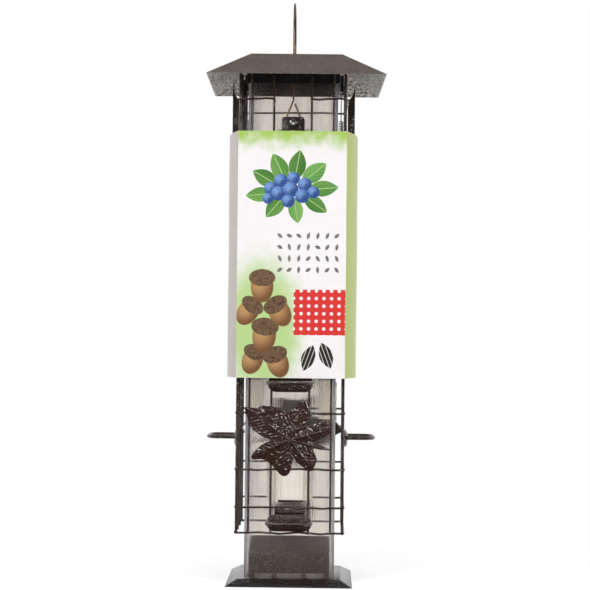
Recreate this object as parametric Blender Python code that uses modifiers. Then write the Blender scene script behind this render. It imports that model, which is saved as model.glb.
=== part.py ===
"""Squirrel proof bird feeder with a weight-activated wire shroud.

A clear square seed tube stands on a folded tray and hangs from a bronze wire. A welded cage with leaf
shaped shields hangs round it on two springs: the weight of a squirrel pulls the cage down, and the
shields close the feeding ports. The origin is under the middle of the tray, +Z is up and the front
of the feeder looks towards -Y. All lengths are in metres.
"""

import math

import bmesh
import bpy
from mathutils import Matrix, Vector

# Fits shared by all the pieces
GAP = 0.0003            # between pieces that touch, are welded or are riveted together
OVERRUN = 0.002         # how far a cutter runs past what it cuts
MERGE = 0.00005

# Seed tube
TUBE_WIDTH = 0.072
TUBE_WALL = 0.0016
TUBE_EDGE = 0.0007      # radius of the upright edges
TUBE_LENGTH = 0.400
PORT_WIDTH = 0.022
PORT_HEIGHT = 0.027
PORT_CORNER = 0.002
RIM_WIDTH = 0.0024
RIM_PROUD = 0.001

# Base tray, deflector and what joins them
BASE_LEDGE = 0.005      # flat of the tray round the tube
BASE_SLOPE = 0.0095
BASE_HEIGHT = 0.0053
BASE_SHEET = 0.001
BASE_HEM = 0.006
DEFLECTOR_LIFT = 0.0031
DEFLECTOR_PLAY = 0.0022
DEFLECTOR_BOX = 0.0165
DEFLECTOR_RIDGE = 0.0092
DEFLECTOR_RIDGE_FLAT = 0.010
BLOCK_SIZE = 0.0045
BASE_TAB_WIDTH = 0.0042
BASE_TAB_SHEET = 0.0012
BASE_TAB_PITCH = 0.0235

# Port modules: perch height, opening above it, shield above it, and how the shield is turned
LOWEST_PERCH = 0.050
SIDE_PERCH = 0.115
MODULE_PITCH = 0.110
PORT_RISE = 0.0155
FRONT_SHIELD_RISE = 0.0655
BACK_SHIELD_RISE = 0.0695
SIDE_SHIELD_RISE = 0.079
BACK_SHIELD_TURN = 215  # degrees, seen from the front

# Sills
SILL_WIDTH = 0.0235
SILL_HEIGHT = 0.0090
SILL_DEPTH = 0.0044
SILL_NOSE_DROP = 0.0048     # from the top edge to the nose
SILL_FOOT_DEPTH = 0.0022
SILL_SHEET = 0.0010

# Baffles: clear hoods behind the ports, open below
BAFFLE_WIDTH = 0.036
BAFFLE_DEPTH = 0.012
BAFFLE_WALL = 0.0012
BAFFLE_ABOVE_SILL = 0.0005  # from the lower edge of the port to the open foot of the hood
BAFFLE_ABOVE_PORT = 0.006

# Cage
CAGE_CLEARANCE = 0.006  # from the tube to the middle of the uprights
UPRIGHT_WIRE = 0.0019
CORNER_WIRE = 0.0022
ROW_WIRE = 0.0017
ROW_SINK = 0.0008      # how far a row is melted into the uprights at its welds
CAGE_BOTTOM = 0.042
CAGE_ABOVE_TUBE = 0.0044
OUTER_UPRIGHT_INSET = 0.0095    # from the corner upright
INNER_UPRIGHT = 0.015
LOWER_ROWS = (0.042, 0.062, 0.092, 0.1366, 0.172, 0.202)
TOP_ROW_DROP = 0.0234   # from the tips of the uprights
UPPER_ROW_PITCH = 0.070
UPPER_ROWS = 3
WIRE_SIDES = 6

# Perches
PLATE_WIDTH = 0.036
PLATE_HEIGHT = 0.0134
PLATE_SHEET = 0.0012
PERCH_WIRE = 0.0032
PERCH_WIDTH = 0.034     # over the middle of the wire
PERCH_REACH = 0.0240    # from the plate to the outside of the wire
PERCH_BEND = 0.009
PERCH_LIFT = 0.001

# Leaf shields
LEAF_REACH = 0.0436     # from the middle of the leaf to its longest tip
LEAF_SHEET = 0.0008
LEAF_RELIEF = 0.0020

# Springs and what holds them
SPRING_WIRE = 0.0008
SPRING_OUTSIDE = 0.0040
SPRING_CURLS = 20
SPRING_STEM = 0.020     # straight wire between the upper hook and the coil
SPRING_TAIL = 0.008     # and between the coil and the lower hook
HOOK_RADIUS = 0.0015
BRACKET_SHEET = 0.0012
BRACKET_WIDTH = 0.0030
BRACKET_BELOW_COLLAR = 0.0042
BRACKET_ON_COLLAR = 0.012
HOOK_HOLE = 0.0017
HOOK_LAND = 0.0015      # metal between the hole and the edge that the hook goes round

# Spring covers
COVER_BELOW_TUBE_TOP = 0.0011
COVER_LENGTH = 0.1245
COVER_SHOULDER_DROP = 0.0145
COVER_DEPTH = 0.00545
COVER_HALF = 0.0175
COVER_SHEET = 0.0008
TONGUE_HEIGHT = 0.0060
TONGUE_RISE = 0.003

# Collar and roof
COLLAR_WALL = 0.001
COLLAR_DROP = 0.0056    # how far the collar reaches down over the tube
COLLAR_RISE = 0.0148    # above the tube
COLLAR_LIP = 0.0022
COLLAR_LIP_THICK = 0.0012
ROOF_WIDTH = 0.141
ROOF_FLAT = 0.073
ROOF_RISE = 0.0205
ROOF_SHEET = 0.0008
ROOF_TURN = 1.0       # degrees, the play of the roof on its wire
ROOF_TILT = 0.8         # degrees, its back edge stands higher
ROOF_SHIFT = 0.0018     # it has slid to the right by this
FLANGE_PLAY = 0.0026
FLANGE_DROP = 0.009
FLANGE_LEDGE = 0.008

# Hanging wire, its plates and rivets
BAIL_WIRE = 0.0015
BAIL_INSET = 0.0044     # from the inside of the tube to the middle of the wire
BAIL_RISE = 0.0654      # above the tube
BAIL_BEND = 0.008
BAIL_ARCH_SHARE = 0.98  # radius of the bow's top, of half its width
BAIL_HOLE = 0.0062
EYE_END_SIDE = 0.0014       # where the cut end of the wire lies beside the eye's apex
EYE_END_DROP = 0.0026
EYE_HALF = 0.0088
EYE_APEX_RISE = 0.0185
EYE_BEND = 0.002
RIVET_DROP = 0.0376     # below the top of the tube
HANGER_PLATE_WIDTH = 0.0185
HANGER_PLATE_HEIGHT = 0.036
HANGER_PLATE_ABOVE = 0.005
HANGER_PLATE_SHEET = 0.001
HANGER_PLATE_CORNER = 0.0025
WASHER_DIAMETER = 0.0072
WASHER_SHEET = 0.0006
WASHER_DROP = 0.0007
RIVET_HEAD = 0.0059
RIVET_HEAD_THICK = 0.0011
RIVET_CROWN_SHARE = 0.75
RIVET_SHANK = 0.0032
RIVET_BORE = 0.0021

# Card sleeve
SLEEVE_BELOW_TUBE_TOP = 0.0454
SLEEVE_HEIGHT = 0.1956
SLEEVE_PANEL_MARGIN = 0.001     # past the corner uprights, across the front
SLEEVE_STANDOFF = 0.007         # in front of the uprights
SLEEVE_SIDE_STANDOFF = 0.0105
SLEEVE_CARD = 0.0006

# Leaf outline: degrees from +X, reach and fold, both as shares of the longest tip and of the relief
LEAF_OUTLINE_SHARES = (
    (143.9, 1.00, 1.0), (136.6, 0.84, 0.5), (129.8, 0.81, 0.4), (116.0, 0.67, 0.2),
    (102.7, 0.55, 0.1), (94.8, 0.51, 0.0), (88.0, 0.56, 0.2), (79.5, 0.64, 0.5),
    (72.5, 0.745, 1.0), (66.5, 0.745, 0.9), (55.0, 0.635, 0.5), (48.0, 0.60, 0.3),
    (43.5, 0.43, 0.0), (36.5, 0.42, 0.0), (33.5, 0.55, 0.3), (29.5, 0.71, 0.6),
    (22.5, 0.76, 0.7), (15.1, 0.79, 1.0), (8.0, 0.69, 0.5), (1.0, 0.52, 0.2),
    (-7.0, 0.42, 0.0), (-9.5, 0.60, 0.5), (-13.3, 0.785, 1.0), (-16.5, 0.60, 0.5),
    (-20.5, 0.46, 0.0), (-34.3, 0.60, 0.4), (-42.0, 0.635, 0.7), (-51.5, 0.675, 1.0),
    (-57.0, 0.665, 0.8), (-62.5, 0.56, 0.4), (-71.7, 0.42, 0.1), (-77.0, 0.33, 0.0),
    (-84.0, 0.43, 0.2), (-90.0, 0.595, 0.6), (-97.4, 0.66, 1.0), (-104.0, 0.65, 0.7),
    (-115.5, 0.59, 0.4), (-126.1, 0.555, 0.1), (-144.2, 0.60, 0.4), (-151.4, 0.75, 0.9),
    (-157.3, 0.755, 1.0), (-164.0, 0.63, 0.5), (-171.0, 0.50, 0.2), (-176.5, 0.36, 0.0),
    (178.0, 0.36, 0.0), (174.5, 0.48, 0.2), (168.5, 0.61, 0.4), (163.5, 0.73, 0.5),
    (156.0, 0.81, 0.6), (149.5, 0.93, 0.8),
)
LEAF_RING_SHARES = (0.42, 0.78)
LEAF_DOME_SHARE = 0.7       # of the relief, at the middle of the leaf
LEAF_EDGE_SHARE = 0.15      # of the relief, at its edge
LEAF_FOLD_SHARE = 0.38      # of the relief, along a vein
LEAF_FOLD_POWER = 0.7       # brings the top of each fold towards the middle


# Sizes worked out from the ones above
TUBE_HALF = TUBE_WIDTH / 2
TUBE_INSIDE = TUBE_HALF - TUBE_WALL
TUBE_FOOT = BASE_HEIGHT + GAP
TUBE_TOP = TUBE_FOOT + TUBE_LENGTH
BASE_TOP_HALF = TUBE_HALF + BASE_LEDGE
BASE_HALF = BASE_TOP_HALF + BASE_SLOPE
COLLAR_HALF = TUBE_HALF + GAP + COLLAR_WALL
COLLAR_FOOT = TUBE_TOP - COLLAR_DROP
COLLAR_TOP = TUBE_TOP + COLLAR_RISE
CAGE_HALF = TUBE_HALF + CAGE_CLEARANCE
CAGE_TOP = TUBE_TOP + CAGE_ABOVE_TUBE
OUTER_UPRIGHT = CAGE_HALF - OUTER_UPRIGHT_INSET
TOP_ROW = CAGE_TOP - TOP_ROW_DROP
ROW_HEIGHTS = LOWER_ROWS + tuple(TOP_ROW - UPPER_ROW_PITCH * step for step in reversed(range(UPPER_ROWS)))
ROW_LINE = CAGE_HALF + UPRIGHT_WIRE / 2 + ROW_WIRE / 2 - ROW_SINK
CAGE_FACE = ROW_LINE + ROW_WIRE / 2 + GAP       # where shields and covers lie on the rows
UPRIGHT_FACE = CAGE_HALF + UPRIGHT_WIRE / 2 + GAP   # where perch plates lie on the uprights, between rows
ROOF_SLOPE = (ROOF_WIDTH - ROOF_FLAT) / 2 / ROOF_RISE
ROOF_SKEW = math.sqrt(1 + ROOF_SLOPE ** 2)
ROOF_INSIDE = ROOF_SHEET * (ROOF_SKEW - ROOF_SLOPE)     # how much smaller the flat is on its underside
TURN_SPREAD = math.cos(math.radians(ROOF_TURN)) + math.sin(math.radians(abs(ROOF_TURN)))
ROOF_SEAT = ((COLLAR_HALF * TURN_SPREAD - ROOF_FLAT / 2 + ROOF_INSIDE) + GAP * ROOF_SKEW) / ROOF_SLOPE
ROOF_TOP = COLLAR_TOP + max(ROOF_SEAT, GAP) + ROOF_SHEET    # the slopes rest on the collar's corners
ROOF_EAVE = ROOF_TOP - ROOF_RISE
EYE_LINE = TUBE_INSIDE - GAP - BAIL_WIRE / 2
SPRING_AXIS = (TUBE_HALF + CAGE_HALF - UPRIGHT_WIRE / 2) / 2
COVER_TOP = TUBE_TOP - COVER_BELOW_TUBE_TOP
COVER_BOTTOM = COVER_TOP - COVER_LENGTH
COVER_REACH = CAGE_FACE + COVER_DEPTH
SLEEVE_TOP = TUBE_TOP - SLEEVE_BELOW_TUBE_TOP
BAIL_HALF = TUBE_INSIDE - BAIL_INSET
RIVET_HEIGHT = TUBE_TOP - RIVET_DROP
BRACKET_HOLE = COLLAR_FOOT - BRACKET_BELOW_COLLAR + HOOK_LAND + HOOK_HOLE / 2
TONGUE_TOP = COVER_BOTTOM + TONGUE_RISE + TONGUE_HEIGHT
TONGUE_HOLE = TONGUE_TOP - HOOK_LAND - HOOK_HOLE / 2

SIDES = ("front", "right", "back", "left")      # each a quarter turn on from the one before
PORTS = (
    ("front_lower", "front", LOWEST_PERCH),
    ("front_upper", "front", LOWEST_PERCH + MODULE_PITCH),
    ("back_lower", "back", LOWEST_PERCH),
    ("back_upper", "back", LOWEST_PERCH + MODULE_PITCH),
    ("left", "left", SIDE_PERCH),
    ("right", "right", SIDE_PERCH),
)
SHIELD_RISES = {"front": FRONT_SHIELD_RISE, "back": BACK_SHIELD_RISE, "left": SIDE_SHIELD_RISE,
                "right": SIDE_SHIELD_RISE}


def start_scene():
    """Empty the scene and make the two collections."""
    for old in list(bpy.data.objects):
        bpy.data.objects.remove(old, do_unlink=True)
    made = []
    for name in ("squirrel_proof_feeder", "cutters"):
        collection = bpy.data.collections.new(name)
        bpy.context.scene.collection.children.link(collection)
        made.append(collection)
    return made


PARTS, CUTTERS = start_scene()


def paint(name, colour, roughness, metallic=0.0, alpha=1.0):
    """A plain Principled material."""
    material = bpy.data.materials.new(name)
    material.use_nodes = True
    shader = material.node_tree.nodes["Principled BSDF"]
    shader.inputs["Base Color"].default_value = (*colour, 1.0)
    shader.inputs["Roughness"].default_value = roughness
    shader.inputs["Metallic"].default_value = metallic
    shader.inputs["Alpha"].default_value = alpha
    return material


HAMMERED_BROWN = paint("hammered_brown_paint", (0.055, 0.036, 0.030), 0.35)
FROSTED_CLEAR = paint("frosted_clear_plastic", (0.80, 0.78, 0.74), 0.30, 0.0, 0.35)
BLACK_PLASTIC = paint("black_plastic", (0.012, 0.011, 0.013), 0.45)
DARK_PLASTIC = paint("dark_brown_plastic", (0.060, 0.048, 0.048), 0.45)
BRONZE_WIRE = paint("bronze_wire", (0.28, 0.19, 0.12), 0.35, 1.0)
SPRING_STEEL = paint("spring_steel", (0.30, 0.29, 0.28), 0.30, 1.0)
RIVET_STEEL = paint("rivet_steel", (0.75, 0.75, 0.76), 0.20, 1.0)
PRINTED_CARD = paint("printed_card", (0.85, 0.83, 0.80), 0.55)


def place_mesh(name, mesh, material, collection=None):
    """Put a finished mesh in the scene as one named object."""
    mesh.name = name
    mesh.materials.clear()
    if material:
        mesh.materials.append(material)
    piece = bpy.data.objects.new(name, mesh)
    (collection or PARTS).objects.link(piece)
    return piece


def facing(side):
    """Turn a piece modelled at the front (facing -Y) to one of the four sides."""
    return Matrix.Rotation(math.radians(90 * SIDES.index(side)), 4, "Z")


def upright_frame(distance, height):
    """Outline plane (x to the right, y up, z towards the viewer) set up on the front, facing -Y."""
    return Matrix.Translation((0, -distance, height)) @ Matrix.Rotation(math.radians(90), 4, "X")


def box(name, low, high, material=None, collection=None):
    """A block between two corners."""
    shape = bmesh.new()
    bmesh.ops.create_cube(shape, size=1)
    low, high = Vector(low), Vector(high)
    bmesh.ops.scale(shape, vec=high - low, verts=shape.verts)
    bmesh.ops.translate(shape, vec=(low + high) / 2, verts=shape.verts)
    mesh = bpy.data.meshes.new(name)
    shape.to_mesh(mesh)
    shape.free()
    return place_mesh(name, mesh, material, collection)


def mesh_from_curve(curve, name):
    """The closed mesh of a curve, with its loose caps welded on."""
    carrier = bpy.data.objects.new(name, curve)
    bpy.context.scene.collection.objects.link(carrier)
    ready = carrier.evaluated_get(bpy.context.evaluated_depsgraph_get())
    mesh = bpy.data.meshes.new_from_object(ready)
    bpy.data.objects.remove(carrier)
    bpy.data.curves.remove(curve)
    shape = bmesh.new()
    shape.from_mesh(mesh)
    bmesh.ops.remove_doubles(shape, verts=shape.verts, dist=MERGE)
    bmesh.ops.recalc_face_normals(shape, faces=shape.faces)
    shape.to_mesh(mesh)
    shape.free()
    return mesh


def flat_piece(name, loops, thickness, matrix, material, collection=None):
    """A sheet of even thickness cut to an outline, whose back lies in the outline plane."""
    curve = bpy.data.curves.new(name, "CURVE")
    curve.dimensions = "2D"
    curve.fill_mode = "BOTH"
    curve.extrude = thickness / 2
    for loop in loops:
        spline = curve.splines.new("POLY")
        spline.points.add(len(loop) - 1)
        for point, (x, y) in zip(spline.points, loop):
            point.co = (x, y, 0, 1)
        spline.use_cyclic_u = True
    mesh = mesh_from_curve(curve, name)
    mesh.transform(matrix @ Matrix.Translation((0, 0, thickness / 2)))
    return place_mesh(name, mesh, material, collection)


def wire_mesh(name, points, diameter, resolution=2, cyclic=False):
    """A round wire along points."""
    curve = bpy.data.curves.new(name, "CURVE")
    curve.dimensions = "3D"
    curve.bevel_depth = diameter / 2
    curve.bevel_resolution = resolution
    curve.use_fill_caps = True
    spline = curve.splines.new("POLY")
    spline.points.add(len(points) - 1)
    for point, place in zip(spline.points, points):
        point.co = (*place, 1)
    spline.use_cyclic_u = cyclic
    return mesh_from_curve(curve, name)


def arc(centre, radius, start, end, steps):
    """Points on an arc, in degrees, both ends included."""
    angles = [math.radians(start + (end - start) * step / steps) for step in range(steps + 1)]
    return [(centre[0] + radius * math.cos(a), centre[1] + radius * math.sin(a)) for a in angles]


def rounded_rectangle(width, height, radius, steps=3):
    """Outline of a rectangle with round corners, about its middle."""
    x, y = width / 2 - radius, height / 2 - radius
    points = []
    for index, (sx, sy) in enumerate(((1, 1), (-1, 1), (-1, -1), (1, -1))):
        points += arc((sx * x, sy * y), radius, 90 * index, 90 * index + 90, steps)
    return points


def screwed(name, profile, steps, material, closed=False, axis_turn=0.0):
    """A profile of (radius, height) turned about Z; it runs down the outside and up the inside."""
    mesh = bpy.data.meshes.new(name)
    edges = [(i, i + 1) for i in range(len(profile) - 1)]
    if closed:
        edges.append((len(profile) - 1, 0))
    mesh.from_pydata([(radius, 0, height) for radius, height in profile], edges, [])
    piece = place_mesh(name, mesh, material)
    screw = piece.modifiers.new("turned", "SCREW")
    screw.steps = steps
    screw.render_steps = steps
    screw.use_merge_vertices = True
    screw.merge_threshold = MERGE
    screw.use_smooth_shade = False
    bake(piece)
    piece.data.transform(Matrix.Rotation(math.radians(axis_turn), 4, "Z"))
    return piece


def squared(name, profile, material, closed=False, turn=0.0):
    """A profile of (half width, height) carried round a square: a Screw of four steps."""
    corner = [(half * math.sqrt(2), height) for half, height in profile]
    return screwed(name, corner, 4, material, closed, 45 + turn)


def bake(piece):
    """Swap a piece's mesh for its evaluated one and drop the modifiers."""
    bpy.context.view_layer.update()
    ready = piece.evaluated_get(bpy.context.evaluated_depsgraph_get())
    mesh = bpy.data.meshes.new_from_object(ready)
    piece.modifiers.clear()
    piece.data = mesh
    mesh.name = piece.name


def boolean(piece, tool, operation):
    """Cut a piece with another object, or join it on, and put the tool among the cutters."""
    step = piece.modifiers.new(operation.lower(), "BOOLEAN")
    step.operation = operation
    step.solver = "EXACT"
    step.object = tool
    bake(piece)
    for collection in list(tool.users_collection):
        collection.objects.unlink(tool)
    CUTTERS.objects.link(tool)
    tool.hide_render = True
    tool.display_type = "WIRE"


def hole(piece, diameter, centre, along, length, sides=12):
    """Drill a round hole, with its middle at a point and its axis along X, Y or Z."""
    turn = {"X": Matrix.Rotation(math.radians(90), 4, "Y"),
            "Y": Matrix.Rotation(math.radians(90), 4, "X"),
            "Z": Matrix.Identity(4)}[along]
    shape = bmesh.new()
    bmesh.ops.create_cone(shape, cap_ends=True, segments=sides, radius1=diameter / 2,
                          radius2=diameter / 2, depth=length)
    shape.transform(Matrix.Translation(centre) @ turn)
    mesh = bpy.data.meshes.new(piece.name + "_drill")
    shape.to_mesh(mesh)
    shape.free()
    boolean(piece, place_mesh(mesh.name, mesh, None, CUTTERS), "DIFFERENCE")


def flat_shading_except(piece, angle):
    """Round pieces are shaded smooth, with sharp edges where faces meet past an angle."""
    piece.data.shade_smooth()
    piece.data.set_sharp_from_angle(angle=math.radians(angle))


def make_seed_tube():
    """Four clear walls with the raised rims, the ports and the rivet holes; front and back have the edges."""
    walls = {}
    for side in SIDES:
        if side in ("front", "back"):
            half, bend = TUBE_HALF, TUBE_EDGE
            section = [(-half, -TUBE_INSIDE)] + arc((-half + bend, -TUBE_HALF + bend), bend, 180, 270, 3)
            section += arc((half - bend, -TUBE_HALF + bend), bend, 270, 360, 3) + [(half, -TUBE_INSIDE)]
        else:
            half = TUBE_INSIDE - GAP
            section = [(-half, -TUBE_INSIDE), (-half, -TUBE_HALF), (half, -TUBE_HALF), (half, -TUBE_INSIDE)]
        walls[side] = flat_piece("tube_wall_" + side, (section,), TUBE_LENGTH,
                                 facing(side) @ Matrix.Translation((0, 0, TUBE_FOOT)), FROSTED_CLEAR)
    for port, side, perch in PORTS:
        middle = perch + PORT_RISE + PORT_HEIGHT / 2
        frame = facing(side) @ upright_frame(TUBE_HALF - TUBE_WALL / 2, middle)
        outside = rounded_rectangle(PORT_WIDTH + 2 * RIM_WIDTH, PORT_HEIGHT + 2 * RIM_WIDTH, PORT_CORNER, 2)
        rim = flat_piece("rim_" + port, (outside,), TUBE_WALL / 2 + RIM_PROUD, frame, None)
        boolean(walls[side], rim, "UNION")
        frame = facing(side) @ upright_frame(TUBE_INSIDE - OVERRUN, middle)
        inside = rounded_rectangle(PORT_WIDTH, PORT_HEIGHT, PORT_CORNER / 2, 2)
        cut = flat_piece("cut_" + port, (inside,), TUBE_WALL + RIM_PROUD + 2 * OVERRUN, frame, None)
        boolean(walls[side], cut, "DIFFERENCE")
    for side in ("front", "back"):
        spot = facing(side) @ Vector((0, -TUBE_HALF, RIVET_HEIGHT))
        hole(walls[side], RIVET_SHANK + 2 * GAP, spot, "Y", 2 * TUBE_WALL + OVERRUN)


def make_base():
    """Folded tray with a hem and bent-up tabs, and the plug with its ridge, which stands on four feet."""
    half, top = BASE_HALF, BASE_TOP_HALF
    tray = squared("base_tray", (
        (0, BASE_HEIGHT), (top, BASE_HEIGHT), (half, 0), (half - BASE_HEM, 0),
        (half - BASE_HEM, BASE_SHEET), (top - BASE_SHEET, BASE_HEIGHT - BASE_SHEET),
        (0, BASE_HEIGHT - BASE_SHEET)), HAMMERED_BROWN)
    plug = TUBE_INSIDE - DEFLECTOR_PLAY
    low = TUBE_FOOT + DEFLECTOR_LIFT
    shoulder = low + DEFLECTOR_BOX
    ridge = DEFLECTOR_RIDGE_FLAT / 2
    section = ((-plug, low), (plug, low), (plug, shoulder), (ridge, shoulder + DEFLECTOR_RIDGE),
               (-ridge, shoulder + DEFLECTOR_RIDGE), (-plug, shoulder))
    along_x = Matrix(((0, 0, 1, -plug), (1, 0, 0, 0), (0, 1, 0, 0), (0, 0, 0, 1)))
    deflector = flat_piece("seed_deflector", (section,), 2 * plug, along_x, DARK_PLASTIC)
    floor, ceiling = BASE_HEIGHT + GAP, low - GAP
    corner = plug - BLOCK_SIZE
    for sx in (-1, 1):
        for sy in (-1, 1):
            x, y = sorted((sx * plug, sx * corner)), sorted((sy * plug, sy * corner))
            foot = box("foot", (x[0], y[0], floor), (x[1], y[1], low + BLOCK_SIZE / 2))
            boolean(deflector, foot, "UNION")
    for side in SIDES:
        for way in (-1, 1):
            x = way * BASE_TAB_PITCH / 2
            tab = box("tab", (x - BASE_TAB_WIDTH / 2, -plug, BASE_HEIGHT - BASE_SHEET / 2),
                      (x + BASE_TAB_WIDTH / 2, -plug + BASE_TAB_SHEET, ceiling))
            tab.data.transform(facing(side))
            boolean(tray, tab, "UNION")


def make_sills():
    """Sheet nosing under each port: it slopes out from the wall and folds back in below."""
    for port, side, perch in PORTS:
        top = perch + PORT_RISE - RIM_WIDTH - GAP
        wall = TUBE_HALF + GAP
        foot = top - SILL_HEIGHT
        nose = top - SILL_NOSE_DROP
        section = ((wall, top), (wall, top - SILL_SHEET), (wall + SILL_DEPTH - SILL_SHEET, nose),
                   (wall + SILL_FOOT_DEPTH - SILL_SHEET, foot), (wall + SILL_FOOT_DEPTH, foot),
                   (wall + SILL_DEPTH, nose), (wall + SILL_SHEET, top))
        along_x = Matrix(((0, 0, 1, -SILL_WIDTH / 2), (-1, 0, 0, 0), (0, 1, 0, 0), (0, 0, 0, 1)))
        sill = flat_piece("port_sill_" + port, (section,), SILL_WIDTH, along_x, HAMMERED_BROWN)
        sill.data.transform(facing(side))
        square_up(sill)


def make_baffles():
    """Clear moulded hood behind each port, which keeps the seed from running out."""
    for port, side, perch in PORTS:
        low = perch + PORT_RISE + BAFFLE_ABOVE_SILL
        high = perch + PORT_RISE + PORT_HEIGHT + BAFFLE_ABOVE_PORT
        wall, half = -(TUBE_INSIDE - GAP), BAFFLE_WIDTH / 2
        hood = box("port_baffle_" + port, (-half, wall, low), (half, wall + BAFFLE_DEPTH, high), FROSTED_CLEAR)
        room = box("hood_room_" + port, (BAFFLE_WALL - half, wall - OVERRUN, low - OVERRUN),
                   (half - BAFFLE_WALL, wall + BAFFLE_DEPTH - BAFFLE_WALL, high - BAFFLE_WALL))
        boolean(hood, room, "DIFFERENCE")
        hood.data.transform(facing(side))


def square_up(piece):
    """Point all faces of a closed piece outwards."""
    shape = bmesh.new()
    shape.from_mesh(piece.data)
    bmesh.ops.recalc_face_normals(shape, faces=shape.faces)
    shape.to_mesh(piece.data)
    shape.free()


def rod_between(low, high, diameter):
    """A straight wire as a prism, for welding into a panel."""
    low, high = Vector(low), Vector(high)
    run = high - low
    shape = bmesh.new()
    bmesh.ops.create_cone(shape, cap_ends=True, segments=WIRE_SIDES, radius1=diameter / 2,
                          radius2=diameter / 2, depth=run.length)
    turn = Vector((0, 0, 1)).rotation_difference(run.normalized()).to_matrix().to_4x4()
    shape.transform(Matrix.Translation((low + high) / 2) @ turn)
    mesh = bpy.data.meshes.new("rod")
    shape.to_mesh(mesh)
    shape.free()
    return place_mesh("rod", mesh, None, CUTTERS)


def weld(name, rods, material):
    """Melt crossing wires into one body."""
    first, rest = rods[0], rods[1:]
    crossing = bpy.data.collections.new(name + "_wires")
    CUTTERS.children.link(crossing)
    for rod in rest:
        crossing.objects.link(rod)
        CUTTERS.objects.unlink(rod)
        rod.hide_render = True
        rod.display_type = "WIRE"
    step = first.modifiers.new("welds", "BOOLEAN")
    step.operation = "UNION"
    step.solver = "EXACT"
    step.operand_type = "COLLECTION"
    step.collection = crossing
    bake(first)
    mesh = first.data
    bpy.data.objects.remove(first)
    return place_mesh(name, mesh, material)


def make_cage():
    """Four flat welded panels. The front and back own the corner uprights, and the sides butt on them."""
    bottom = CAGE_BOTTOM - ROW_WIRE / 2
    for side in ("front", "back"):
        rods = []
        for x in (-CAGE_HALF, -OUTER_UPRIGHT, -INNER_UPRIGHT, INNER_UPRIGHT, OUTER_UPRIGHT, CAGE_HALF):
            thick = CORNER_WIRE if abs(x) == CAGE_HALF else UPRIGHT_WIRE
            rods.append(rod_between((x, -CAGE_HALF, bottom), (x, -CAGE_HALF, CAGE_TOP), thick))
        for height in ROW_HEIGHTS:
            reach = CAGE_HALF + CORNER_WIRE / 2
            cut_row = side == "front" and height == ROW_HEIGHTS[-1]
            stub = INNER_UPRIGHT - UPRIGHT_WIRE
            spans = ((-reach, -stub), (stub, reach)) if cut_row else ((-reach, reach),)
            for start, end in spans:
                rods.append(rod_between((start, -ROW_LINE, height), (end, -ROW_LINE, height), ROW_WIRE))
        panel = weld("cage_" + side, rods, HAMMERED_BROWN)
        panel.data.transform(facing(side))
    for side in ("left", "right"):
        rods = []
        for x in (-INNER_UPRIGHT, INNER_UPRIGHT):
            rods.append(rod_between((x, -CAGE_HALF, bottom), (x, -CAGE_HALF, CAGE_TOP), UPRIGHT_WIRE))
        reach = CAGE_HALF - CORNER_WIRE / 2 - GAP
        for height in ROW_HEIGHTS:
            rods.append(rod_between((-reach, -ROW_LINE, height), (reach, -ROW_LINE, height), ROW_WIRE))
        panel = weld("cage_" + side, rods, HAMMERED_BROWN)
        panel.data.transform(facing(side))


def make_perches():
    """Rounded plate on the cage below each port, with a U-shaped rod welded to it."""
    for port, side, height in PORTS:
        frame = facing(side) @ upright_frame(UPRIGHT_FACE, height)
        outline = rounded_rectangle(PLATE_WIDTH, PLATE_HEIGHT, PLATE_HEIGHT / 2, 6)
        flat_piece("perch_plate_" + port, (outline,), PLATE_SHEET, frame, HAMMERED_BROWN)
        start = UPRIGHT_FACE + PLATE_SHEET + GAP
        end = UPRIGHT_FACE + PLATE_SHEET + PERCH_REACH - PERCH_WIRE / 2
        half = PERCH_WIDTH / 2
        bend = min(PERCH_BEND, half)
        level = height + PERCH_LIFT
        path = [(-half, -start)]
        path += arc((-half + bend, -end + bend), bend, 180, 270, 5)
        path += arc((half - bend, -end + bend), bend, 270, 360, 5)
        path += [(half, -start)]
        mesh = wire_mesh("perch_rod_" + port, [(x, y, level) for x, y in path], PERCH_WIRE)
        mesh.transform(facing(side))
        rod = place_mesh("perch_rod_" + port, mesh, HAMMERED_BROWN)
        flat_shading_except(rod, 40)


def leaf_mesh(name):
    """Stamped leaf about its middle: x right, y up and z out, with a fold along the vein of each lobe."""
    shape = bmesh.new()
    relief = LEAF_RELIEF
    sheets = []
    for lift in (0, LEAF_SHEET):
        rings = [[shape.verts.new((0, 0, lift + relief * LEAF_DOME_SHARE))]]
        for share in LEAF_RING_SHARES + (1.0,):
            ring = []
            for degrees, reach, fold in LEAF_OUTLINE_SHARES:
                angle = math.radians(degrees)
                radius = LEAF_REACH * reach * share
                crown = fold * LEAF_FOLD_SHARE * math.sin(math.pi * share ** LEAF_FOLD_POWER)
                rise = relief * (LEAF_DOME_SHARE * (1 - share) + LEAF_EDGE_SHARE * share + crown)
                ring.append(shape.verts.new((radius * math.cos(angle), radius * math.sin(angle), lift + rise)))
            rings.append(ring)
        sheets.append(rings)
    count = len(LEAF_OUTLINE_SHARES)
    for rings in sheets:
        for index in range(count):
            after = (index + 1) % count
            shape.faces.new((rings[0][0], rings[1][index], rings[1][after]))
            for inner, outer in zip(rings[1:], rings[2:]):
                shape.faces.new((inner[index], outer[index], outer[after], inner[after]))
    for index in range(count):
        after = (index + 1) % count
        shape.faces.new((sheets[0][-1][index], sheets[0][-1][after], sheets[1][-1][after], sheets[1][-1][index]))
    bmesh.ops.triangulate(shape, faces=shape.faces)
    bmesh.ops.recalc_face_normals(shape, faces=shape.faces)
    mesh = bpy.data.meshes.new(name)
    shape.to_mesh(mesh)
    shape.free()
    return mesh


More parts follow.
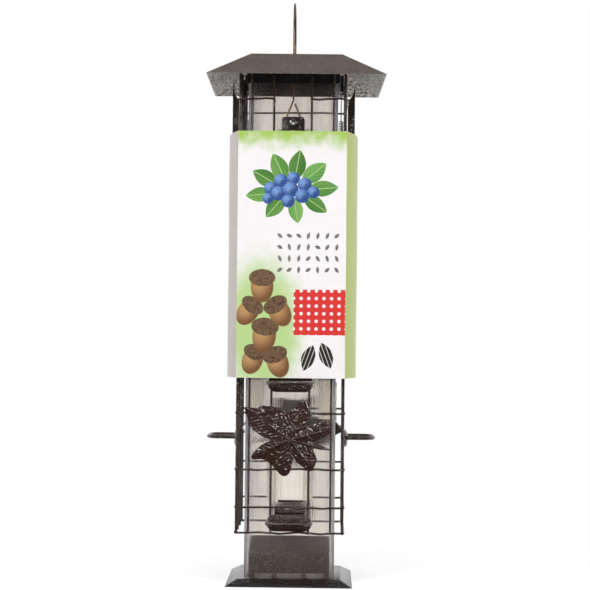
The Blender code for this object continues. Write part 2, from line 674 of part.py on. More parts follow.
def make_shields():
    """One leaf above each port. The ones on the back are stamped the other way round, and turned."""
    for port, side, perch in PORTS:
        mesh = leaf_mesh("leaf_shield_" + port)
        if side == "back":
            mesh.transform(Matrix.Rotation(math.radians(BACK_SHIELD_TURN), 4, "Z"))
        mesh.transform(upright_frame(CAGE_FACE, perch + SHIELD_RISES[side]))
        if side == "back":
            mesh.transform(Matrix.Scale(-1, 4, (0, 1, 0)))
            mesh.flip_normals()
        else:
            mesh.transform(facing(side))
        leaf = place_mesh("leaf_shield_" + port, mesh, HAMMERED_BROWN)
        flat_shading_except(leaf, 50)


def make_collar_and_roof():
    """Black collar on the tube, the hipped roof that rests on it, and the flange that centres the roof."""
    inner = COLLAR_HALF - COLLAR_WALL
    lip = TUBE_TOP + GAP
    squared("top_collar", (
        (COLLAR_HALF, COLLAR_TOP), (COLLAR_HALF, COLLAR_FOOT), (inner, COLLAR_FOOT), (inner, lip),
        (inner - COLLAR_LIP, lip), (inner - COLLAR_LIP, lip + COLLAR_LIP_THICK),
        (inner, lip + COLLAR_LIP_THICK), (inner, COLLAR_TOP)), BLACK_PLASTIC, closed=True)
    flat, eave = ROOF_FLAT / 2, ROOF_WIDTH / 2
    roof = squared("roof_shell", (
        (0, ROOF_TOP), (flat, ROOF_TOP), (eave, ROOF_EAVE), (eave - ROOF_SHEET * ROOF_SKEW, ROOF_EAVE),
        (flat - ROOF_INSIDE, ROOF_TOP - ROOF_SHEET), (0, ROOF_TOP - ROOF_SHEET)),
        HAMMERED_BROWN, turn=ROOF_TURN)
    outer = min(inner / TURN_SPREAD - FLANGE_PLAY, flat - ROOF_INSIDE - GAP * ROOF_SKEW)
    top = ROOF_TOP - ROOF_SHEET - GAP
    flange = squared("roof_flange", (
        (outer, top), (outer, top - FLANGE_DROP), (outer - ROOF_SHEET, top - FLANGE_DROP),
        (outer - ROOF_SHEET, top - ROOF_SHEET), (outer - FLANGE_LEDGE, top - ROOF_SHEET),
        (outer - FLANGE_LEDGE, top)), HAMMERED_BROWN, closed=True, turn=ROOF_TURN)
    for way in (-1, 1):
        hole(roof, BAIL_HOLE, (0, way * BAIL_HALF, ROOF_TOP), "Z", 2 * ROOF_SHEET + OVERRUN)
        hole(flange, BAIL_HOLE, (0, way * BAIL_HALF, top), "Z", 2 * ROOF_SHEET + OVERRUN)
    pivot = Matrix.Translation((0, -COLLAR_HALF, COLLAR_TOP))
    lean = (Matrix.Translation((ROOF_SHIFT, 0, ROOF_SHIFT / ROOF_SLOPE)) @ pivot
            @ Matrix.Rotation(math.radians(ROOF_TILT), 4, "X") @ pivot.inverted())
    for piece in (roof, flange):
        piece.data.transform(lean)


def smooth_corner(before, corner, after, radius, steps):
    """Points of a round bend of a given radius at a corner of a route."""
    corner = Vector(corner)
    back, on = (Vector(before) - corner).normalized(), (Vector(after) - corner).normalized()
    half = back.angle(on) / 2
    length = radius / math.tan(half)
    centre = corner + (back + on).normalized() * (radius / math.sin(half))
    first, last = corner + back * length, corner + on * length
    points = []
    for step in range(steps + 1):
        spread = (first - centre).slerp(last - centre, step / steps)
        points.append(tuple(centre + spread.normalized() * radius))
    return points


def bent_route(corners, radius, steps):
    """A route through corners with a round bend at each, its ends left as they are."""
    points = [tuple(corners[0][0])]
    for index in range(1, len(corners) - 1):
        place, bend = corners[index]
        points += smooth_corner(corners[index - 1][0], place, corners[index + 1][0], bend or radius, steps)
    return points + [tuple(corners[-1][0])]


def make_bail():
    """Hanging wire: an arch above the roof, straight legs through it, and an eye under each rivet."""
    bar = RIVET_HEIGHT - RIVET_SHANK / 2 - BAIL_WIRE / 2 - GAP
    apex = RIVET_HEIGHT + EYE_APEX_RISE
    line = TUBE_TOP + BAIL_RISE - BAIL_WIRE / 2
    gather = apex + BAIL_BEND
    eye = [
        ((EYE_END_SIDE, -EYE_LINE, apex - EYE_END_DROP), 0),
        ((EYE_HALF, -EYE_LINE, bar), EYE_BEND),
        ((-EYE_HALF, -EYE_LINE, bar), EYE_BEND),
        ((0, -EYE_LINE, apex), EYE_BEND),
        ((0, -BAIL_HALF, gather), BAIL_BEND),
        ((0, -BAIL_HALF, line), BAIL_ARCH_SHARE * BAIL_HALF),
    ]
    back = [((-x, -y, z), bend) for (x, y, z), bend in reversed(eye)]
    mesh = wire_mesh("hanger_bail", bent_route(eye + back, BAIL_BEND, 6), BAIL_WIRE)
    bail = place_mesh("hanger_bail", mesh, BRONZE_WIRE)
    flat_shading_except(bail, 40)


def make_hanger_fixings():
    """Plate, washer and hollow rivet on the front and on the back of the tube."""
    for side in ("front", "back"):
        wall = TUBE_HALF + GAP
        middle = RIVET_HEIGHT + HANGER_PLATE_ABOVE - HANGER_PLATE_HEIGHT / 2
        outline = rounded_rectangle(HANGER_PLATE_WIDTH, HANGER_PLATE_HEIGHT, HANGER_PLATE_CORNER)
        plate = flat_piece("hanger_plate_" + side, (outline,), HANGER_PLATE_SHEET,
                           upright_frame(wall, middle), HAMMERED_BROWN)
        hole(plate, RIVET_SHANK + 2 * GAP, (0, -wall, RIVET_HEIGHT), "Y", 2 * HANGER_PLATE_SHEET + OVERRUN)
        seat = wall + HANGER_PLATE_SHEET + GAP
        disc = arc((0, 0), WASHER_DIAMETER / 2, 0, 337.5, 15)
        washer = flat_piece("hanger_washer_" + side, (disc,), WASHER_SHEET,
                            upright_frame(seat, RIVET_HEIGHT - WASHER_DROP), BLACK_PLASTIC)
        hole(washer, RIVET_SHANK + 2 * GAP, (0, -seat, RIVET_HEIGHT), "Y", 2 * WASHER_SHEET + OVERRUN)
        under = seat + WASHER_SHEET + GAP
        head, shank, bore = RIVET_HEAD / 2, RIVET_SHANK / 2, RIVET_BORE / 2
        inner = EYE_LINE - BAIL_WIRE / 2 - GAP
        crown = head * RIVET_CROWN_SHARE
        rivet = screwed("hanger_rivet_" + side, (
            (crown, under + RIVET_HEAD_THICK), (head, under + RIVET_HEAD_THICK / 2), (head, under), (shank, under),
            (shank, inner), (head, inner), (head, inner - RIVET_HEAD_THICK / 2), (crown, inner - RIVET_HEAD_THICK),
            (bore, inner - RIVET_HEAD_THICK), (bore, under + RIVET_HEAD_THICK)), 12, RIVET_STEEL, closed=True)
        rivet.data.transform(Matrix.Translation((0, 0, RIVET_HEIGHT)) @ Matrix.Rotation(math.radians(90), 4, "X"))
        flat_shading_except(rivet, 40)
        for piece in (plate, washer, rivet):
            piece.data.transform(facing(side))


def spring_route():
    """Middle of the wire of the spring on the right: hook, stem, coil, tail and hook."""
    radius = (SPRING_OUTSIDE - SPRING_WIRE) / 2
    top_ring = BRACKET_HOLE - HOOK_RADIUS
    low_ring = TONGUE_HOLE + HOOK_RADIUS
    coil_top = top_ring - HOOK_RADIUS - SPRING_STEM
    coil_low = low_ring + HOOK_RADIUS + SPRING_TAIL
    points = []
    for y, z in arc((0, top_ring), HOOK_RADIUS, -50, 235, 12):
        points.append((SPRING_AXIS, y, z))
    points.append((SPRING_AXIS, 0, top_ring - 2 * HOOK_RADIUS))
    points.append((SPRING_AXIS, 0, coil_top + radius))
    per_curl = 8
    count = SPRING_CURLS * per_curl
    for step in range(count + 1):
        angle = 2 * math.pi * step / per_curl
        grow = min(1, step / per_curl * 2, (count - step) / per_curl * 2)
        height = coil_top + (coil_low - coil_top) * step / count
        points.append((SPRING_AXIS + radius * grow * math.cos(angle), radius * grow * math.sin(angle), height))
    points.append((SPRING_AXIS, 0, coil_low - radius))
    points.append((SPRING_AXIS, 0, low_ring + 2 * HOOK_RADIUS))
    for y, z in arc((0, low_ring), HOOK_RADIUS, 125, 410, 12):
        points.append((SPRING_AXIS, y, z))
    return points


def least_self_gap(points, diameter, apart=6):
    """Least clear space between stretches of one wire, measured on points along it."""
    fine = []
    for before, after in zip(points, points[1:]):
        for share in (0, 1 / 3, 2 / 3):
            fine.append(Vector(before).lerp(Vector(after), share))
    least = math.inf
    for index, point in enumerate(fine):
        for other in fine[index + 3 * apart:index + 90]:
            least = min(least, (point - other).length)
    return least - diameter


def make_springs():
    """Extension springs between tube and cage, each hooked on its strap above and on its cover below."""
    route = spring_route()
    gap = least_self_gap(route, SPRING_WIRE)
    print("spring: least gap to itself %.2f mm" % (gap * 1000))
    hang = COLLAR_HALF + GAP
    foot = COLLAR_FOOT - BRACKET_BELOW_COLLAR
    for side, turn in (("right", 0), ("left", 180)):
        about = Matrix.Rotation(math.radians(turn), 4, "Z")
        mesh = wire_mesh("spring_" + side, route, SPRING_WIRE, 1)
        mesh.transform(about)
        spring = place_mesh("spring_" + side, mesh, SPRING_STEEL)
        flat_shading_except(spring, 50)
        strap = box("spring_bracket_" + side, (hang, -BRACKET_SHEET / 2, foot),
                    (hang + BRACKET_WIDTH, BRACKET_SHEET / 2, COLLAR_FOOT + BRACKET_ON_COLLAR), HAMMERED_BROWN)
        hole(strap, HOOK_HOLE, (SPRING_AXIS, 0, BRACKET_HOLE), "Y", BRACKET_SHEET + OVERRUN)
        strap.data.transform(about)
        make_cover(side, about)


def make_cover(side, about):
    """Sheet channel over a spring, cut away at the top, with the tongue that the spring pulls on."""
    near = CAGE_FACE
    bow = arc((near, COVER_TOP), COVER_REACH - near, 0, -90, 6)
    drop = COVER_SHOULDER_DROP
    curve = [(x, COVER_TOP + (z - COVER_TOP) * drop / (COVER_REACH - near)) for x, z in bow]
    outline = [(near, COVER_BOTTOM), (COVER_REACH, COVER_BOTTOM)] + curve
    along_y = Matrix(((1, 0, 0, 0), (0, 0, -1, COVER_HALF), (0, 1, 0, 0), (0, 0, 0, 1)))
    cover = flat_piece("spring_cover_" + side, (outline,), 2 * COVER_HALF, along_y, HAMMERED_BROWN)
    web = COVER_REACH - COVER_SHEET
    room = box("room_" + side, (near - OVERRUN, -COVER_HALF + COVER_SHEET, COVER_BOTTOM - OVERRUN),
               (web, COVER_HALF - COVER_SHEET, COVER_TOP + OVERRUN))
    boolean(cover, room, "DIFFERENCE")
    tip = COLLAR_HALF + GAP
    tongue = box("tongue_" + side, (tip, -BRACKET_SHEET / 2, COVER_BOTTOM + TONGUE_RISE),
                 (web + COVER_SHEET / 2, BRACKET_SHEET / 2, TONGUE_TOP))
    boolean(cover, tongue, "UNION")
    hole(cover, HOOK_HOLE, (SPRING_AXIS, 0, TONGUE_HOLE), "Y", BRACKET_SHEET + OVERRUN)
    cover.data.transform(about)


def make_sleeve():
    """Card sleeve: flat front and back panels, and side panels that bow out over covers and shields."""
    def loop(inset):
        half = CAGE_HALF + SLEEVE_PANEL_MARGIN - inset
        front = CAGE_HALF + SLEEVE_STANDOFF - inset
        bulge = CAGE_HALF + SLEEVE_SIDE_STANDOFF - inset
        rise = bulge - half
        radius = (front * front + rise * rise) / (2 * rise)
        spread = math.degrees(math.asin(front / radius))
        right = arc((bulge - radius, 0), radius, -spread, spread, 12)
        return right + [(-x, -y) for x, y in right]
    flat_piece("card_sleeve", (loop(0), loop(SLEEVE_CARD)), SLEEVE_HEIGHT,
               Matrix.Translation((0, 0, SLEEVE_TOP - SLEEVE_HEIGHT)), PRINTED_CARD)


def main():
    """Build the feeder from the base up."""
    make_base()
    make_seed_tube()
    make_sills()
    make_baffles()
    make_cage()
    make_perches()
    make_shields()
    make_collar_and_roof()
    make_bail()
    make_hanger_fixings()
    make_springs()
    make_sleeve()


main()
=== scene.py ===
"""Squirrel proof bird feeder, dressed round its solid model.

A clear square seed tube on a folded tray hangs from a bronze wire. A welded cage with leaf shields hangs
round it on two springs, and a hipped roof lifts off along the wire. Lengths are in metres, +Z is up and
the front looks towards -Y.
"""
from math import asin, cos, exp, pi, radians, sin, sqrt, tan, tau

import bmesh
import bpy
from mathutils import Matrix, Vector, noise


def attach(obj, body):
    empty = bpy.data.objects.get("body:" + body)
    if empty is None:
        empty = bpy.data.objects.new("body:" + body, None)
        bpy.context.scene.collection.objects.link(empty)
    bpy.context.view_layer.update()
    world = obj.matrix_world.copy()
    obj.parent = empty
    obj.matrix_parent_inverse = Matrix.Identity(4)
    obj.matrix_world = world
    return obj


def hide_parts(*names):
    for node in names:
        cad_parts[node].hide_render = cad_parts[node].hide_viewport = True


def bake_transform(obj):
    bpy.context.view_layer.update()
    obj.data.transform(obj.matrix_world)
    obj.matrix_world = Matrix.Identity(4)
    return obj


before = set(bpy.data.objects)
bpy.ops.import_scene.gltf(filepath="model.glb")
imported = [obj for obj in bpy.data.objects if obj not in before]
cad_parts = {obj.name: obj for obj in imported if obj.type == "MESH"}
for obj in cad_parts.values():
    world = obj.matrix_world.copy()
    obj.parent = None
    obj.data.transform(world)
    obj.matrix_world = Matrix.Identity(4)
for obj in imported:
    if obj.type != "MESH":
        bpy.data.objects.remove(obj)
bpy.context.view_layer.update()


# The view
# The photograph was taken from a little to the right of the axis, at less than half the feeder's
# height, with a long lens. The eye lies 1.34 m away and looks slightly up.
EYE = Vector((0.030, -1.344, 0.1986))
TURNED_LEFT, LOOKS_UP, ROLLED = radians(1.19), radians(1.4), radians(0.56)
LENS_MM, FILM_MM, SEES_TO = 100.07, 36, 50


def placed(name, data):
    """An object in the scene."""
    made = bpy.data.objects.new(name, data)
    bpy.context.scene.collection.objects.link(made)
    return made


lens = bpy.data.cameras.new("view_of_the_feeder")
lens.lens, lens.sensor_width, lens.clip_end = LENS_MM, FILM_MM, SEES_TO
eye = placed("view_of_the_feeder", lens)
eye.matrix_world = (Matrix.Translation(EYE) @ Matrix.Rotation(TURNED_LEFT, 4, "Z")
                    @ Matrix.Rotation(radians(90) + LOOKS_UP, 4, "X") @ Matrix.Rotation(ROLLED, 4, "Z"))
bpy.context.scene.camera = eye


# Light and floor
# A plain pale studio: a room that is white behind the feeder and dark in front of it, so that gloss
# stays deep, three lamps, and a pale floor that keeps the shadow and is white where none falls.
LIT_SPOT = Vector((0, 0, 0.23))
FLOOR_REACH, FLOOR_DROP = 3.0, 0.0002
WHITE = (1, 1, 1, 1)


def linear(colour):
    """A colour given as six hex digits of sRGB, as linear light."""
    shares = [int(colour[start:start + 2], 16) / 255 for start in (0, 2, 4)]
    return (*[s / 12.92 if s <= 0.04045 else ((s + 0.055) / 1.055) ** 2.4 for s in shares], 1.0)


def feed(node, sockets):
    """Set a node's inputs: sockets and nodes are linked, and the rest are fixed values."""
    for socket, value in sockets.items():
        if isinstance(value, bpy.types.Node):
            value = value.outputs[0]
        if isinstance(value, bpy.types.NodeSocket):
            node.id_data.links.new(value, node.inputs[socket])
        else:
            node.inputs[socket].default_value = value
    return node


def add(tree, kind, sockets=None, **settings):
    """A new node with its settings and its inputs."""
    made = tree.nodes.new(kind)
    for name, value in settings.items():
        setattr(made, name, value)
    return feed(made, sockets or {})


def calc(tree, operation, first, second=0.0, third=0.0, clamp=False):
    """One sum in a shader."""
    return add(tree, "ShaderNodeMath", {0: first, 1: second, 2: third}, operation=operation, use_clamp=clamp)


def times(tree, first, second):
    """A product in a shader."""
    return calc(tree, "MULTIPLY", first, second)


def vector(tree, operation, first, second=(0, 0, 0)):
    """One sum of vectors in a shader."""
    return add(tree, "ShaderNodeVectorMath", {0: first, 1: second}, operation=operation)


def parts(tree, whole):
    """The three parts of a vector, as the outputs of one node."""
    return add(tree, "ShaderNodeSeparateXYZ", {0: whole}).outputs


def length(tree, whole):
    """The length of a vector."""
    return vector(tree, "LENGTH", whole).outputs["Value"]


def ranged(tree, value, low, high, start=0.0, end=1.0, **settings):
    """What goes from start to end while a value goes from low to high."""
    return add(tree, "ShaderNodeMapRange", {0: value, 1: low, 2: high, 3: start, 4: end}, **settings)


def place_in(tree, kind="Object"):
    """Where the shaded point lies."""
    return add(tree, "ShaderNodeTexCoord").outputs[kind]


def mixed(tree, share, first, second):
    """Two shaders mixed by a share."""
    return add(tree, "ShaderNodeMixShader", {0: share, 1: first, 2: second})


def in_sight(tree, rays):
    """1 for what is seen, straight or through plastic, and 0 for what only lights or is mirrored."""
    return calc(tree, "MAXIMUM", rays.outputs["Is Camera Ray"], rays.outputs["Is Transmission Ray"])


def mesh_of(name, spots, faces=()):
    """A mesh of given points and faces."""
    mesh = bpy.data.meshes.new(name)
    mesh.from_pydata(spots, [], faces)
    return mesh


room = bpy.data.worlds.new("white_studio_room")
room.use_nodes = True
bpy.context.scene.world = room
tree = room.node_tree
tree.nodes.clear()
rays = add(tree, "ShaderNodeLightPath")
place = parts(tree, place_in(tree, "Generated"))
behind = ranged(tree, place[1], -0.45, 0.15)
low = ranged(tree, place[2], 0.42, 0.70, 1.0, 0.0)
mirrored = ranged(tree, times(tree, behind, low), 0.0, 1.0, 0.03, 1.0)
in_gloss = add(tree, "ShaderNodeMix", {0: rays.outputs["Is Glossy Ray"], 2: 0.58, 3: mirrored})
strength = add(tree, "ShaderNodeMix", {0: in_sight(tree, rays), 2: in_gloss, 3: 1.0})
add(tree, "ShaderNodeOutputWorld", {0: add(tree, "ShaderNodeBackground", {0: WHITE, 1: strength})})

for name, spot, size, power in (
        ("lamp_front_left", (-0.9, -1.3, 1.1), 0.20, 14.0),
        ("lamp_front_right", (1.2, -1.0, 0.7), 0.18, 8.5),
        ("lamp_above", (0.1, -0.3, 1.6), 0.6, 5.0)):
    lamp = bpy.data.lights.new(name, "AREA")
    lamp.size = size
    lamp.energy = power
    turn = (LIT_SPOT - Vector(spot)).to_track_quat("-Z", "Y")
    placed(name, lamp).matrix_world = Matrix.Translation(spot) @ turn.to_matrix().to_4x4()

floor_mesh = mesh_of("pale_floor", [(x * FLOOR_REACH, y * FLOOR_REACH, -FLOOR_DROP)
                                    for x, y in ((-1, -1), (1, -1), (1, 1), (-1, 1))], [(0, 1, 2, 3)])
floor = placed("pale_floor", floor_mesh)
paper = bpy.data.materials.new("matt_white_background_paper")
paper.use_nodes = True
tree = paper.node_tree
tree.nodes.clear()
rays = add(tree, "ShaderNodeLightPath")
matt = add(tree, "ShaderNodeBsdfDiffuse", {0: linear("b4b4b4")})
glow = add(tree, "ShaderNodeEmission", {0: WHITE, 1: 0.62})
white = add(tree, "ShaderNodeEmission", {0: WHITE, 1: 1.0})
far = ranged(tree, length(tree, place_in(tree)), 0.10, 0.30)
near_or_far = mixed(tree, far, add(tree, "ShaderNodeAddShader", {0: matt, 1: glow}), white)
skin = mixed(tree, in_sight(tree, rays), matt, near_or_far)
behind = ranged(tree, parts(tree, place_in(tree))[1], -0.06, 0.12, 0.05, 1.0)
in_gloss = add(tree, "ShaderNodeEmission", {0: WHITE, 1: behind})
add(tree, "ShaderNodeOutputMaterial", {0: mixed(tree, rays.outputs["Is Glossy Ray"], skin, in_gloss)})
floor_mesh.materials.append(paper)
bpy.context.scene.view_settings.view_transform = "Standard"


# Hammered brown paint
# Nearly all the steel is painted with the same hammered enamel: dark brown and glossy, in rounded
# lumps under two millimetres wide, which break each reflection into bright specks.
def start_finish(name):
    """A new material, with its tree and its shader."""
    made = bpy.data.materials.new(name)
    made.use_nodes = True
    return made, made.node_tree, made.node_tree.nodes["Principled BSDF"]


def clouds(tree, where, scale, detail):
    """Soft noise, with so many patches to a unit of length."""
    return add(tree, "ShaderNodeTexNoise", {"Vector": where, "Scale": scale, "Detail": detail})


def tone(tree, share, first, second):
    """A colour between two others, each given as six hex digits or as a link."""
    first, second = (linear(ink) if isinstance(ink, str) else ink for ink in (first, second))
    return add(tree, "ShaderNodeMix", {0: share, 6: first, 7: second}, data_type="RGBA").outputs[2]


def hammered_paint(name, dark, light, lump, steep, roughness, coat=0.9, under=None):
    """Hammered enamel in rounded lumps. Faces that look down can take two speckled tones of their own, paler
    than the rest: painted light from the floor below.
    """
    made, tree, shader = start_finish(name)
    where = place_in(tree)
    cells = add(tree, "ShaderNodeTexVoronoi", {"Vector": where, "Scale": 1 / lump})
    from_top = vector(tree, "SUBTRACT", where, cells.outputs["Position"])
    lean = add(tree, "ShaderNodeVectorMath", {0: from_top, "Scale": steep / lump}, operation="SCALE")
    flat = add(tree, "ShaderNodeNewGeometry").outputs
    normal = vector(tree, "NORMALIZE", vector(tree, "ADD", flat["Normal"], lean))
    patch = clouds(tree, where, 1 / 0.012, 4.0)
    rim = ranged(tree, cells.outputs["Distance"], 0.25, 0.75)
    colour = tone(tree, times(tree, patch, rim), dark, light)
    # Painted light: faces that look down take pale speckled tones, as if lit by the floor below.
    if under:
        down = ranged(tree, parts(tree, flat["True Normal"])[2], -0.3, -0.6)
        speckling = ranged(tree, clouds(tree, where, 1 / 0.0022, 2.0), 0.35, 0.65)
        colour = tone(tree, down, colour, tone(tree, speckling, *under))
    feed(shader, {"Base Color": colour, "Normal": normal, "Coat Normal": normal, "Metallic": 0.15,
                  "Roughness": roughness, "Specular IOR Level": 0.35, "Coat Weight": coat,
                  "Coat IOR": 1.85, "Coat Roughness": 0.05})
    return made


# Drawn wire
# All the round wire comes from one node tree: a curve goes in, and a smooth wire of a given diameter
# with closed ends comes out. A second input sets small weld beads on given points.
wire_nodes = bpy.data.node_groups.new("drawn_wire", "GeometryNodeTree")
wire_inputs = {}
for label, kind in (("Curve", "Geometry"), ("Diameter", "Float"), ("Sides", "Int"), ("Finish", "Material"),
                    ("Weld points", "Object"), ("Bead radius", "Float")):
    made = wire_nodes.interface.new_socket(label, in_out="INPUT", socket_type="NodeSocket" + kind)
    wire_inputs[label] = made.identifier
wire_nodes.interface.new_socket("Wire", in_out="OUTPUT", socket_type="NodeSocketGeometry")
given = add(wire_nodes, "NodeGroupInput").outputs
radius = times(wire_nodes, given["Diameter"], 0.5)
ring = add(wire_nodes, "GeometryNodeCurvePrimitiveCircle", {"Resolution": given["Sides"], "Radius": radius})
drawn = add(wire_nodes, "GeometryNodeCurveToMesh", {"Curve": given["Curve"], "Profile Curve": ring,
                                                   "Fill Caps": True})
points = add(wire_nodes, "GeometryNodeObjectInfo", {"Object": given["Weld points"]})
bead = add(wire_nodes, "GeometryNodeMeshIcoSphere", {"Radius": given["Bead radius"], "Subdivisions": 2})
beads = add(wire_nodes, "GeometryNodeInstanceOnPoints", {"Points": points.outputs["Geometry"],
                                                        "Instance": bead})
real = add(wire_nodes, "GeometryNodeRealizeInstances", {0: beads})
whole = add(wire_nodes, "GeometryNodeJoinGeometry", {0: drawn})
wire_nodes.links.new(real.outputs[0], whole.inputs[0])
smooth = add(wire_nodes, "GeometryNodeSetShadeSmooth", {"Geometry": whole, "Shade Smooth": True})
painted = add(wire_nodes, "GeometryNodeSetMaterial", {"Geometry": smooth, "Material": given["Finish"]})
add(wire_nodes, "NodeGroupOutput", {0: painted})


def plain_mesh(carrier, *tools):
    """The mesh of an object with its modifiers carried out. The object and its tools are then let go."""
    bpy.context.view_layer.update()
    graph = bpy.context.evaluated_depsgraph_get()
    mesh = bpy.data.meshes.new_from_object(carrier.evaluated_get(graph), depsgraph=graph)
    for used in (carrier, *tools):
        bpy.data.objects.remove(used)
    return mesh


def poly_curve(name, dimensions, runs, closed=False):
    """A curve of straight steps through runs of points, open or closed."""
    curve = bpy.data.curves.new(name, "CURVE")
    curve.dimensions = dimensions
    for run in runs:
        spline = curve.splines.new("POLY")
        spline.points.add(len(run) - 1)
        for point, spot in zip(spline.points, run):
            point.co = (*spot, 1)
        spline.use_cyclic_u = closed
    return curve


def wire(name, runs, diameter, sides, finish, welds=(), bead_radius=0.0):
    """The plain mesh of a set of wires, each a run of points, with weld beads where asked."""
    carrier = placed(name, poly_curve(name, "3D", runs))
    dots = placed(name + "_welds", mesh_of(name + "_welds", list(welds)))
    step = carrier.modifiers.new("drawn", "NODES")
    step.node_group = wire_nodes
    for label, value in (("Diameter", diameter), ("Sides", sides), ("Finish", finish),
                         ("Bead radius", bead_radius), ("Weld points", dots)):
        step[wire_inputs[label]] = value
    return plain_mesh(carrier, dots)


# Welded cage
# Four panels of straight uprights, with thinner rows melted on outside them. The rows lie a little
# unevenly between their welds, as hand-hung welded wire does once it is painted.
CAGE_HALF, CAGE_TOP, CAGE_FOOT = 0.042, 0.41, 0.04115
UPRIGHT_WIRE, CORNER_WIRE, ROW_WIRE = 0.0019, 0.0022, 0.0017
MELTED_IN, WELD_BEAD, WELD_SINK, GAP = 0.0008, 0.00125, 0.0004, 0.0003
ROW_LINE = CAGE_HALF + UPRIGHT_WIRE / 2 + ROW_WIRE / 2 - MELTED_IN
ROWS = (0.042, 0.062, 0.092, 0.1366, 0.172, 0.202, 0.2466, 0.3166, 0.3866)
OUTER, INNER = 0.0325, 0.015
SAG, WAVES, HELD = 0.0012, 60, 0.006
SIDES = ("front", "right", "back", "left")
wire_paint = hammered_paint("hammered_brown_enamel_on_wire", "24110b", "42241a", 0.0015, 0.80, 0.34)


def settle(name, mesh, body, slot, *nodes):
    """One finished piece: it rides on its body and stands for solid nodes, which it hides. Its slot is not
    used.
    """
    mesh.name = name
    piece = placed(name, mesh)
    if body:
        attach(piece, body)
    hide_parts(*nodes)
    return piece


def facing(side):
    """Turn a piece made at the front (facing -Y) to one of the four sides."""
    return Matrix.Rotation(radians(90 * SIDES.index(side)), 4, "Z")


for number, side in enumerate(SIDES):
    flat = side in ("front", "back")
    posts = (-CAGE_HALF, -OUTER, -INNER, INNER, OUTER, CAGE_HALF) if flat else (-INNER, INNER)
    reach = CAGE_HALF + CORNER_WIRE / 2 if flat else CAGE_HALF - CORNER_WIRE / 2 - GAP
    thin, thick, rows, welds = [], [], [], []
    for x in posts:
        run = [(x, -CAGE_HALF, CAGE_FOOT + (CAGE_TOP - CAGE_FOOT) * step / 12) for step in range(13)]
        (thick if abs(x) == CAGE_HALF else thin).append(run)
    for level, height in enumerate(ROWS):
        gap_in_row = side == "front" and level == len(ROWS) - 1
        spans = ((-reach, -INNER), (INNER, reach)) if gap_in_row else ((-reach, reach),)
        for start, end in spans:
            run = []
            for step in range(41):
                x = start + (end - start) * step / 40
                held = min(abs(x - post) for post in posts + (-reach, reach))
                sag = SAG * noise.noise((x * WAVES, level * 3.7, number * 9.1)) * min(1, held / HELD)
                run.append((x, -ROW_LINE, height + sag))
            rows.append(run)
        welds += [(x, -ROW_LINE + WELD_SINK, height) for x in posts]
    meshes = [wire("uprights", thin, UPRIGHT_WIRE, 12, wire_paint),
              wire("rows", rows, ROW_WIRE, 12, wire_paint, welds, WELD_BEAD)]
    if thick:
        meshes.append(wire("corners", thick, CORNER_WIRE, 14, wire_paint))
    shape = bmesh.new()
    for mesh in meshes:
        shape.from_mesh(mesh)
    panel = bpy.data.meshes.new("welded_panel_" + side)
    shape.to_mesh(panel)
    shape.free()
    panel.materials.append(wire_paint)
    panel.transform(facing(side))
    settle("welded_panel_" + side, panel, "shroud", "hammered_brown", "cage_" + side)


# Perches
# Below each port a pillow-shaped steel plate is welded to the uprights, and a thick U of wire stands
# out from it for small birds to sit on.
PORTS = (("front_lower", "front", 0.050), ("front_upper", "front", 0.160), ("back_lower", "back", 0.050),
         ("back_upper", "back", 0.160), ("left", "left", 0.115), ("right", "right", 0.115))
PLATE_LINE = CAGE_HALF + UPRIGHT_WIRE / 2 + GAP
PLATE_HALF, PLATE_ROUND, PLATE_SHEET, PLATE_CROWN = 0.018, 0.0067, 0.0012, 0.0016
PLATE_POINTS, PLATE_RINGS, PLATE_LUMP, PLATE_LUMP_RISE = 144, 26, 0.0021, 0.00036
LUMP_SPREAD = 0.62
PERCH_WIRE, PERCH_HALF, PERCH_BEND, PERCH_OUT, PERCH_RISE = 0.0032, 0.017, 0.009, 0.0240, 0.001


def upright(distance, height):
    """Outline plane (x right, y up, z towards the viewer) set up on the front."""
    return Matrix.Translation((0, -distance, height)) @ Matrix.Rotation(radians(90), 4, "X")


def arc(first, sweep, steps):
    """Points of a unit circle from an angle through a sweep, in degrees, with both ends."""
    angles = [radians(first + sweep * step / steps) for step in range(steps + 1)]
    return [(cos(angle), sin(angle)) for angle in angles]


def lumps(x, y, width, rise):
    """Height of the thick paint at a place, in rounded lumps with creases between."""
    across = noise.voronoi(Vector((x, y, 0)) / width)[0][0]
    return rise * (1 - min(1, across / LUMP_SPREAD) ** 2)


def dressed(mesh, finish, sharp):
    """Give a mesh its finish and smooth it, but for edges over an angle in degrees."""
    mesh.materials.append(finish)
    mesh.shade_smooth()
    mesh.set_sharp_from_angle(angle=radians(sharp))
    return mesh


def band(low, high, count, flip=False):
    """Faces between two closed rings of points, each given by its first point."""
    faces = [(low + here, high + here, high + (here + 1) % count, low + (here + 1) % count)
             for here in range(count)]
    return [(first, last, third, second) for first, second, third, last in faces] if flip else faces


